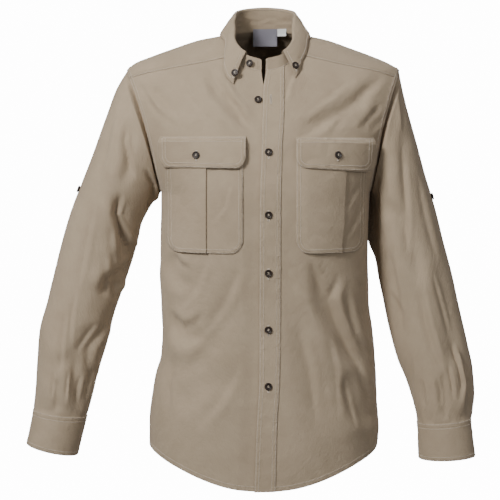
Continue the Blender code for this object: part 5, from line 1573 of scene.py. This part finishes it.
class Nodes:
    """A material's nodes, made and joined with few words."""

    def __init__(self, name):
        self.material = bpy.data.materials.new(name)
        self.material.use_nodes = True
        self.tree = self.material.node_tree
        self.shader = self.tree.nodes["Principled BSDF"]

    def add(self, kind, values=None, **settings):
        node = self.tree.nodes.new(kind)
        for key, value in settings.items():
            setattr(node, key, value)
        for key, value in (values or {}).items():
            if isinstance(value, bpy.types.NodeSocket):
                self.tree.links.new(value, node.inputs[key])
            else:
                node.inputs[key].default_value = value
        return node

    def math(self, operation, *values, clamp=False):
        node = self.add("ShaderNodeMath", dict(enumerate(values)), operation=operation)
        node.use_clamp = clamp
        return node.outputs[0]

    def value(self, name):
        return self.add("ShaderNodeAttribute", attribute_name=name).outputs["Fac"]

    def band(self, value, centre, width):
        """1 at a value's centre, falling to 0 a width away."""
        away = self.math("ABSOLUTE", self.math("SUBTRACT", value, centre))
        near = self.math("SUBTRACT", 1.0, self.math("DIVIDE", away, width), clamp=True)
        return self.math("MULTIPLY", near, near)

    def noise(self, vector, scale, detail=2.0, rough=0.5):
        values = {"Vector": vector, "Scale": scale, "Detail": detail, "Roughness": rough}
        return self.add("ShaderNodeTexNoise", values).outputs[0]

    def mix(self, factor, a, b, kind="MIX"):
        node = self.add("ShaderNodeMix", data_type="RGBA", blend_type=kind)
        for place, value in ((0, factor), (6, a), (7, b)):
            if isinstance(value, bpy.types.NodeSocket):
                self.tree.links.new(value, node.inputs[place])
            else:
                node.inputs[place].default_value = value
        return node.outputs[2]

    def bump(self, height, distance, before=None):
        values = {"Height": height, "Distance": distance, "Strength": 1.0}
        if before is not None:
            values["Normal"] = before
        return self.add("ShaderNodeBump", values).outputs[0]

    def join(self, **values):
        for key, value in values.items():
            socket = self.shader.inputs[key.replace("_", " ")]
            if isinstance(value, bpy.types.NodeSocket):
                self.tree.links.new(value, socket)
            else:
                socket.default_value = value


def cloth_place(make, warp, weft):
    return make.add("ShaderNodeCombineXYZ", {"X": warp, "Y": weft}).outputs[0]


def twill(make, warp, weft, pitch):
    """Height of a twill: threads of both ways under slanting lines."""
    turn = 2 * math.pi / pitch
    lines = make.math("SINE", make.math("MULTIPLY", make.math("ADD", warp, weft), turn * 0.5))
    threads = make.math("SINE", make.math("MULTIPLY", warp, turn))
    picks = make.math("SINE", make.math("MULTIPLY", weft, turn))
    grid = make.math("MULTIPLY", threads, picks)
    return make.math("ADD", make.math("MULTIPLY", lines, 0.6), make.math("MULTIPLY", grid, 0.4))


def khaki_cotton():
    make = Nodes("khaki_cotton")
    warp, weft = make.value("warp"), make.value("weft")
    double, single, inside = make.value("double"), make.value("single"), make.value("inside")
    place = cloth_place(make, warp, weft)
    world = make.add("ShaderNodeTexCoord").outputs["Object"]
    drawn = cloth_place(make, make.math("MULTIPLY", warp, 6.0), weft)
    slub = make.noise(drawn, 420.0, 3.0, 0.6)
    heather = make.noise(place, 1500.0, 2.0, 0.7)
    cloud = make.noise(world, 9.0, 3.0, 0.55)
    patches = make.noise(world, 42.0, 4.0, 0.6)
    tone = make.math("ADD", make.math("MULTIPLY", cloud, 0.45), make.math("MULTIPLY", patches, 0.30))
    tone = make.math("ADD", tone, make.math("MULTIPLY", slub, 0.15))
    tone = make.math("ADD", tone, make.math("MULTIPLY", heather, 0.10))
    tone = make.math("SUBTRACT", make.math("MULTIPLY", tone, 3.4), 1.2, clamp=True)
    colour = make.mix(tone, KHAKI_DEEP, KHAKI_PALE)
    worn = make.math("MULTIPLY", make.band(double, 0.0, 0.0016), make.noise(place, 240.0))
    worn_hem = make.math("MULTIPLY", make.band(single, 0.0, 0.0035), make.noise(place, 240.0))
    colour = make.mix(make.math("ADD", worn, worn_hem, clamp=True), colour, KHAKI_WORN)
    # Painted shade: the cloth is darkened along the stitch rows, where their channels sink into shade.
    rows = [make.band(double, away, 0.0011) for away in (0.0018, 0.0068)]
    rows.append(make.band(single, 0.0082, 0.0012))
    sewn = make.math("ADD", make.math("ADD", rows[0], rows[1]), rows[2], clamp=True)
    colour = make.mix(make.math("MULTIPLY", sewn, 0.30), colour, KHAKI_PAINTED_SHADE)
    # Painted shade: the cloth's inner face, inside the hollow shirt, is given a darker copy of its
    # colour.
    colour = make.mix(make.math("MULTIPLY", inside, 0.45), colour, KHAKI_INSIDE_PAINTED_SHADE)
    folded = make.math("SUBTRACT", 1.0, make.math("DIVIDE", double, 0.0092), clamp=True)
    folded = make.math("MULTIPLY", folded, 12.0, clamp=True)
    turned_up = make.math("SUBTRACT", 1.0, make.math("DIVIDE", single, 0.0096), clamp=True)
    turned_up = make.math("MULTIPLY", turned_up, 12.0, clamp=True)
    raised = make.math("ADD", folded, turned_up, clamp=True)
    near = make.math("MAXIMUM", falling(make, double, 0.012), falling(make, single, 0.014))
    crinkle = make.noise(place, 165.0, 2.0, 0.6)
    crinkle = make.math("MULTIPLY", make.math("SUBTRACT", crinkle, 0.5), near)
    height = make.math("MULTIPLY", raised, 0.00022)
    height = make.math("ADD", height, make.math("MULTIPLY", crinkle, 0.00240))
    height = make.math("SUBTRACT", height, make.math("MULTIPLY", sewn, 0.00032))
    soft = make.math("SUBTRACT", make.noise(place, 90.0, 4.0, 0.62), 0.5)
    height = make.math("ADD", height, make.math("MULTIPLY", soft, 0.00110))
    normal = make.bump(height, 1.0)
    weave = make.math("ADD", twill(make, warp, weft, 0.00075), make.math("MULTIPLY", slub, 0.8))
    normal = make.bump(weave, 0.00007, normal)
    make.join(Base_Color=colour, Roughness=0.88, Normal=normal, Specular_IOR_Level=0.22)
    make.join(Sheen_Weight=0.16, Sheen_Roughness=0.55, Sheen_Tint=(0.93, 0.86, 0.76, 1.0))
    return make.material


def falling(make, value, reach):
    """1 at zero and less with distance."""
    return make.math("SUBTRACT", 1.0, make.math("DIVIDE", value, reach), clamp=True)


KHAKI_PALE = (0.415, 0.327, 0.230, 1.0)
KHAKI_DEEP = (0.345, 0.268, 0.184, 1.0)
KHAKI_WORN = (0.490, 0.402, 0.305, 1.0)
# The next two colours are painted shade, for the stitch channels and for the cloth's inner face.
KHAKI_PAINTED_SHADE = (0.245, 0.189, 0.132, 1.0)
KHAKI_INSIDE_PAINTED_SHADE = (0.290, 0.222, 0.150, 1.0)


def thread_look():
    make = Nodes("khaki_thread")
    place = make.add("ShaderNodeTexCoord").outputs["Object"]
    tone = make.noise(place, 900.0, 2.0)
    colour = make.mix(tone, (0.54, 0.46, 0.36, 1.0), (0.70, 0.61, 0.50, 1.0))
    make.join(Base_Color=colour, Roughness=0.62, Sheen_Weight=0.2, Specular_IOR_Level=0.3)
    return make.material


def horn_look():
    make = Nodes("dark_horn")
    place = make.add("ShaderNodeTexCoord").outputs["Object"]
    stretched = make.add("ShaderNodeMapping", {"Vector": place, "Scale": (1.0, 1.0, 3.0)}).outputs[0]
    streak = make.noise(stretched, 260.0, 4.0, 0.65)
    tone = make.math("SUBTRACT", make.math("MULTIPLY", streak, 3.0), 1.1, clamp=True)
    colour = make.mix(tone, (0.0105, 0.0078, 0.0066, 1.0), (0.052, 0.034, 0.024, 1.0))
    rough = make.math("ADD", make.math("MULTIPLY", streak, 0.18), 0.30)
    normal = make.bump(make.noise(place, 1400.0, 2.0), 0.00002)
    make.join(Base_Color=colour, Roughness=rough, Normal=normal, Specular_IOR_Level=0.33)
    make.join(Coat_Weight=0.05, Coat_Roughness=0.25)
    return make.material


def label_look(name, colour, deep, sheen):
    make = Nodes(name)
    warp, weft = make.value("warp"), make.value("weft")
    rib = make.math("SINE", make.math("MULTIPLY", weft, 2 * math.pi / 0.00042))
    cross = make.math("SINE", make.math("MULTIPLY", warp, 2 * math.pi / 0.00034))
    weave = make.math("ADD", rib, make.math("MULTIPLY", cross, 0.5))
    tone = make.noise(cloth_place(make, warp, weft), 700.0, 3.0)
    make.join(Base_Color=make.mix(tone, deep, colour), Roughness=0.5, Sheen_Weight=sheen)
    make.join(Normal=make.bump(weave, 0.00003), Specular_IOR_Level=0.4)
    return make.material


def slit_shadow_look():
    # A near-black strip laid in each buttonhole's slit, painted shadow of the gap under the cut.
    make = Nodes("buttonhole_slit_shadow")
    make.join(Base_Color=(0.035, 0.026, 0.018, 1.0), Roughness=0.95, Specular_IOR_Level=0.1)
    return make.material


COTTON = khaki_cotton()
SLIT_SHADOW = slit_shadow_look()
THREAD = thread_look()
HORN = horn_look()
LABELS_LOOK = {
    "grey_label": label_look("grey_label", (0.225, 0.215, 0.25, 1.0), (0.17, 0.16, 0.19, 1.0), 0.3),
    "white_label": label_look("white_label", (0.78, 0.78, 0.77, 1.0), (0.66, 0.66, 0.65, 1.0), 0.2),
}


# The shirt


def panel(name, grid, seams, edges=(), proud=None):
    """A panel of single cloth, its seams' edges raised where their allowances lie under them."""
    points, normals = grid
    outer = 0.0 if proud is None else proud
    made = cloth(f"{name}_cloth", points, normals, -CLOTH * 0.9 + outer * 0.6, outer, seams)
    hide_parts(name)
    lines = [line_from_edge(points, normals, edge, away, outer) for edge, away in edges]
    return made, lines


def raised_edge(away):
    """A seam's folded edge: proud of the cloth, rounded at the seam and pressed flat behind."""
    fade = 1 - smooth_step((away - 0.0088) / 0.0016)
    return SEAM_RISE * smooth_step((away + 0.0004) / 0.0014) * fade


def sunk_edge(away):
    """The other side of a seam, drawn down under the folded edge."""
    return -SEAM_SINK * np.exp(-away / 0.0022)


SEAM_RISE = 0.0006
SEAM_SINK = 0.0008


def add_puckers(grid, edges):
    points, normals = grid
    runs = edge_distances(points)
    for number, (edge, depth) in enumerate(edges):
        waves = pucker(runs, edge, depth, 0.0095, 0.012, 80 + number)
        points = points + normals * waves[..., None]
    return points, normals


def build_torso():
    fronts = {}
    for side in ("right", "left"):
        fronts[side] = front_grid(side)
        grid = add_puckers(fronts[side], (("bottom", 0.0011), ("last", 0.0010)))
        runs = edge_distances(grid[0])
        over_arm = np.arange(grid[0].shape[0])[:, None] / FINE < ARM_STEPS // 2 - YOKE_FRONT_STEP
        double = np.where(over_arm, runs["last"], 0.1)
        seams = {"double": double, "single": runs["bottom"]}
        past_neck = np.arange(grid[0].shape[1])[None, :] / FINE - NECK_COLUMNS
        proud = sunk_edge(runs["top"]) * smooth_step(past_neck / 0.6) + raised_edge(double)
        piece, lines = panel(f"front_{side}", grid, seams, (("bottom", 0.0082),), proud)
        arm_rows = (ARM_STEPS // 2 - YOKE_FRONT_STEP) * FINE
        for away in (0.0018, 0.0068):
            line, facing = line_from_edge(*grid, "last", away, proud)
            lines.append((line[:arm_rows], facing[:arm_rows]))
        sewn = beads(f"front_{side}_stitching", stitch_rows(lines), THREAD)
    grid = add_puckers(back_grid(), (("bottom", 0.0011), ("first", 0.0010), ("last", 0.0010)))
    runs = edge_distances(grid[0])
    double = np.minimum(runs["first"], runs["last"])
    seams = {"double": double, "single": runs["bottom"]}
    proud = sunk_edge(runs["top"]) + raised_edge(double)
    piece, lines = panel("back", grid, seams, BACK_ROWS, proud)
    beads("back_stitching", stitch_rows(lines), THREAD)
    yoke = yoke_grid()
    grid = add_puckers(yoke, (("first", 0.0007), ("last", 0.0007), ("bottom", 0.0007)))
    runs = edge_distances(grid[0])
    double = np.minimum(np.minimum(runs["first"], runs["last"]), runs["bottom"])
    piece, lines = panel("yoke", grid, {"double": double}, YOKE_ROWS, raised_edge(double))
    beads("yoke_stitching", stitch_rows(lines), THREAD)
    return fronts, yoke


BACK_ROWS = (
    ("bottom", 0.0082),
    ("first", 0.0018),
    ("first", 0.0068),
    ("last", 0.0018),
    ("last", 0.0068),
)
YOKE_ROWS = (
    ("first", 0.0018),
    ("last", 0.0018),
    ("bottom", 0.0018),
    ("bottom", 0.0068),
)


def build_sleeves():
    for side in ("right", "left"):
        points, normals = sleeve_grid(side)
        name = f"sleeve_{side}"
        across = arc(points, 1)
        under = across.shape[1] // 2
        away = np.abs(across - across[:, under : under + 1])
        inner = -CLOTH * 0.9
        seams = {"double": away}
        piece = cloth(f"{name}_cloth", points, normals, inner, 0.0, seams, closed=True)
        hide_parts(name)
        lines = []
        for offset in (0.0018, 0.0068):
            column = [np.interp(a[under] + offset, a, np.arange(len(a))) for a in across]
            low = np.floor(column).astype(int)
            part = (np.array(column) - low)[:, None]
            row = np.arange(len(points))
            line = points[row, low] * (1 - part) + points[row, low + 1] * part
            lines.append(trimmed(line, normals[row, low], 0.02, 0.002))
        beads(f"{name}_stitching", stitch_rows(lines), THREAD)
        points, normals = cuff_grid(side)
        runs = edge_distances(points)
        near = np.minimum(runs["top"], runs["bottom"])
        near = np.minimum(near, runs["last"])
        rim = smooth_step((near + 0.0002) / 0.0018)
        full = value_noise(points, 0.014, 91) * 0.0003 * rim
        outer = CUFF_PROUD * (0.1 + 0.9 * rim) + full
        inner = CUFF_PROUD - LINED
        piece = cloth(f"cuff_{side}_cloth", points, normals, inner, outer, {"double": near})
        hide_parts(f"cuff_{side}")
        rows = [("top", 0.0018), ("top", 0.0090), ("bottom", 0.0018), ("bottom", 0.0068)]
        rows.append(("last", 0.0018))
        lines = [line_from_edge(points, normals, edge, away, outer) for edge, away in rows]
        sewn = beads(f"cuff_{side}_stitching", stitch_rows(lines), THREAD)
        piece, rows = placket(side)
        beads(f"sleeve_placket_{side}_stitching", rows, THREAD)


def spot_on(grid, across, height):
    points, normals, lift = grid
    place, facing = surface_line(points, normals, lift, [(across, height)])
    return place[0], facing[0]


def build_front(fronts):
    """The pockets, flaps and front band, with their buttonholes and buttons' places."""
    up = np.array([0.0, 0.0, 1.0])
    spots = {}
    for side in ("right", "left"):
        piece, rows = pocket(side)
        beads(f"pocket_{side}_stitching", rows, THREAD)
        piece, rows, grid = flap(side)
        spot = spot_on(grid, *FLAP_BUTTONS[side])
        spots[f"flap_button_{side}"] = spot
        hole = buttonhole(spot[0] - up * 0.0012, spot[1], up, 0.0155)
        beads(f"flap_{side}_stitching", rows + hole, THREAD)
    piece, rows, grid = front_band(fronts["left"])
    for number, height in enumerate(FRONT_BUTTONS, start=1):
        spot = spot_on(grid, FRONT_BUTTON_ACROSS, height)
        spots[f"front_button_{number}"] = spot
        rows += buttonhole(spot[0] - up * 0.0014, spot[1], up, 0.0160)
    spot = spot_on(grid, *EMPTY_BUTTONHOLE)
    rows += buttonhole(spot[0], spot[1], up, 0.0150)
    beads("front_band_stitching", rows, THREAD)
    right = fronts["right"]
    spots["free_front_button"] = spot_on((right[0], right[1], 0.0005), *FREE_BUTTON)
    return spots


EMPTY_BUTTONHOLE = (0.0087, -0.1091)


def build_shirt():
    fronts, yoke = build_torso()
    build_sleeves()
    spots = build_front(fronts)
    stand, leaf, rows, stand_grid_made, leaf_made = collar(fronts, yoke)
    up = np.array([0.0, 0.0, 1.0])
    for side in ("right", "left"):
        spot = spot_on(leaf_made, *POINT_BUTTONS[side])
        spots[f"collar_button_{side}"] = spot
        toward = np.array([-SIDE_SIGN[side] * 0.35, 0.0, 1.0])
        rows += buttonhole(spot[0] - up * 0.0010, spot[1], toward, 0.0150)
        degrees, ring = TAB_BUTTONS[side]
        spots[f"tab_button_{side}"] = sleeve_spot(side, math.radians(degrees), ring, 0.0003)
        ring = SLEEVE_ROWS[side][-2][0] + CUFF_BUTTON_SHARE
        turn = CUFF_OPENING[side] + CUFF_LAP / 2
        spots[f"cuff_button_{side}"] = sleeve_spot(side, turn, ring, CUFF_PROUD + 0.0003)
    spots["stand_button"] = spot_on((*stand_grid_made, 0.0004), *STAND_BUTTON)
    sewn = beads("collar_stitching", rows, THREAD)
    threads = []
    for number, (node, (place, facing)) in enumerate(sorted(spots.items())):
        threads += button(f"{node}_horn", node, place, facing, 0.35 * math.sin(number * 2.4))
    beads("button_threads", threads, THREAD)
    # Each buttonhole's slit gets a thin dark strip of painted shadow.
    slits = []
    for centre, along, facing, length in SLITS:
        place = (centre + facing * 0.00012)[None, :]
        slits.append((place, along[None, :], facing[None, :], length * 1.25, 0.00042))
    beads("slit_shadow_strips", slits, SLIT_SHADOW)
    for name, size in LABELS.items():
        label(name, *size, stand_grid_made)[0]


def sleeve_spot(side, turn, ring, above):
    place, facing = sleeve_fine(side, np.array([turn]), np.array([float(ring)]))
    return place[0] + facing[0] * above, facing[0]


# Studio


def studio():
    """A round pale floor that sweeps up into a wall, soft lamps and the camera."""
    backdrop = Nodes("pale_backdrop")
    backdrop.join(Base_Color=(0.90, 0.90, 0.90, 1.0), Roughness=0.9, Specular_IOR_Level=0.1)
    backdrop.join(Emission_Color=(1.0, 1.0, 1.0, 1.0), Emission_Strength=BACKDROP_GLOW)
    low, wide, high, bend = -1.45, 7.0, 7.0, 2.0
    profile = [(0.02, low)]
    for angle in np.linspace(0, math.pi / 2, 24):
        profile.append((wide - bend + bend * math.sin(angle), low + bend - bend * math.cos(angle)))
    profile.append((wide, high))
    turns = np.linspace(0, 2 * math.pi, 96, endpoint=False)
    vertices = np.array(
        [(out * math.cos(turn), out * math.sin(turn), z) for out, z in profile for turn in turns]
    )
    row = np.arange(len(profile) - 1)[:, None] * len(turns)
    here = np.arange(len(turns))[None, :]
    there = (here + 1) % len(turns)
    faces = np.stack([row + here, row + len(turns) + here, row + len(turns) + there, row + there], 2)
    sweep = quick_mesh("backdrop", vertices, [faces.reshape(-1, 4)], backdrop.material)
    # The wall glows for the camera alone, so it throws no light on the shirt
    sweep.visible_diffuse = False
    sweep.visible_glossy = False
    sweep.visible_shadow = False
    lights = []
    for name, place, size, power, aim in LIGHTS:
        data = bpy.data.lights.new(name, "AREA")
        data.shape = "RECTANGLE"
        data.size, data.size_y = size
        data.energy = power
        data.spread = math.radians(110)
        made = bpy.data.objects.new(name, data)
        bpy.context.scene.collection.objects.link(made)
        made.visible_camera = False
        made.location = place
        made.rotation_euler = (Vector(aim) - Vector(place)).to_track_quat("-Z", "Y").to_euler()
        lights.append(made)
    world = bpy.data.worlds.new("studio")
    world.use_nodes = True
    world.node_tree.nodes["Background"].inputs["Color"].default_value = (1.0, 1.0, 1.0, 1.0)
    world.node_tree.nodes["Background"].inputs["Strength"].default_value = WORLD_STRENGTH
    bpy.context.scene.world = world
    data = bpy.data.cameras.new("front_view")
    data.lens = 110
    data.sensor_width = 36
    camera = bpy.data.objects.new("front_view", data)
    camera.location = (-0.0255, -2.6, -0.15)
    camera.rotation_euler = (math.pi / 2 - math.atan(0.214 / 2.6), 0.0, 0.0)
    bpy.context.scene.collection.objects.link(camera)
    bpy.context.scene.camera = camera
    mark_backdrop(sweep, camera, *lights)


WORLD_STRENGTH = 0.16
BACKDROP_GLOW = 14.0
LIGHTS = (
    ("key", (-1.85, -2.3, 1.45), (0.9, 1.2), 48.0, (0.0, 0.0, -0.05)),
    ("fill", (1.8, -2.6, 0.3), (1.6, 2.0), 8.0, (0.0, 0.0, -0.35)),
    ("top", (0.0, -0.6, 2.3), (2.2, 1.6), 5.0, (0.0, 0.0, -0.2)),
    ("back", (0.3, 3.0, 0.6), (2.2, 1.8), 34.0, (0.0, 0.0, -0.35)),
)


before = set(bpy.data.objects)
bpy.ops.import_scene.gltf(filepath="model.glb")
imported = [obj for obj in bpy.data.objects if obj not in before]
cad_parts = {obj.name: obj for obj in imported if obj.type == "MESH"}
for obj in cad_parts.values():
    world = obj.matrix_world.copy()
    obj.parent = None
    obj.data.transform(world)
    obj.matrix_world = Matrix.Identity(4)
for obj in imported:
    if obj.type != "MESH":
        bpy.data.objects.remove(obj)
solids_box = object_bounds()
build_shirt()
studio()
boxes = {"solids": solids_box, "shown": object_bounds()}
for name, box in boxes.items():
    boxes[name] = [[float(value) for value in corner] for corner in box]
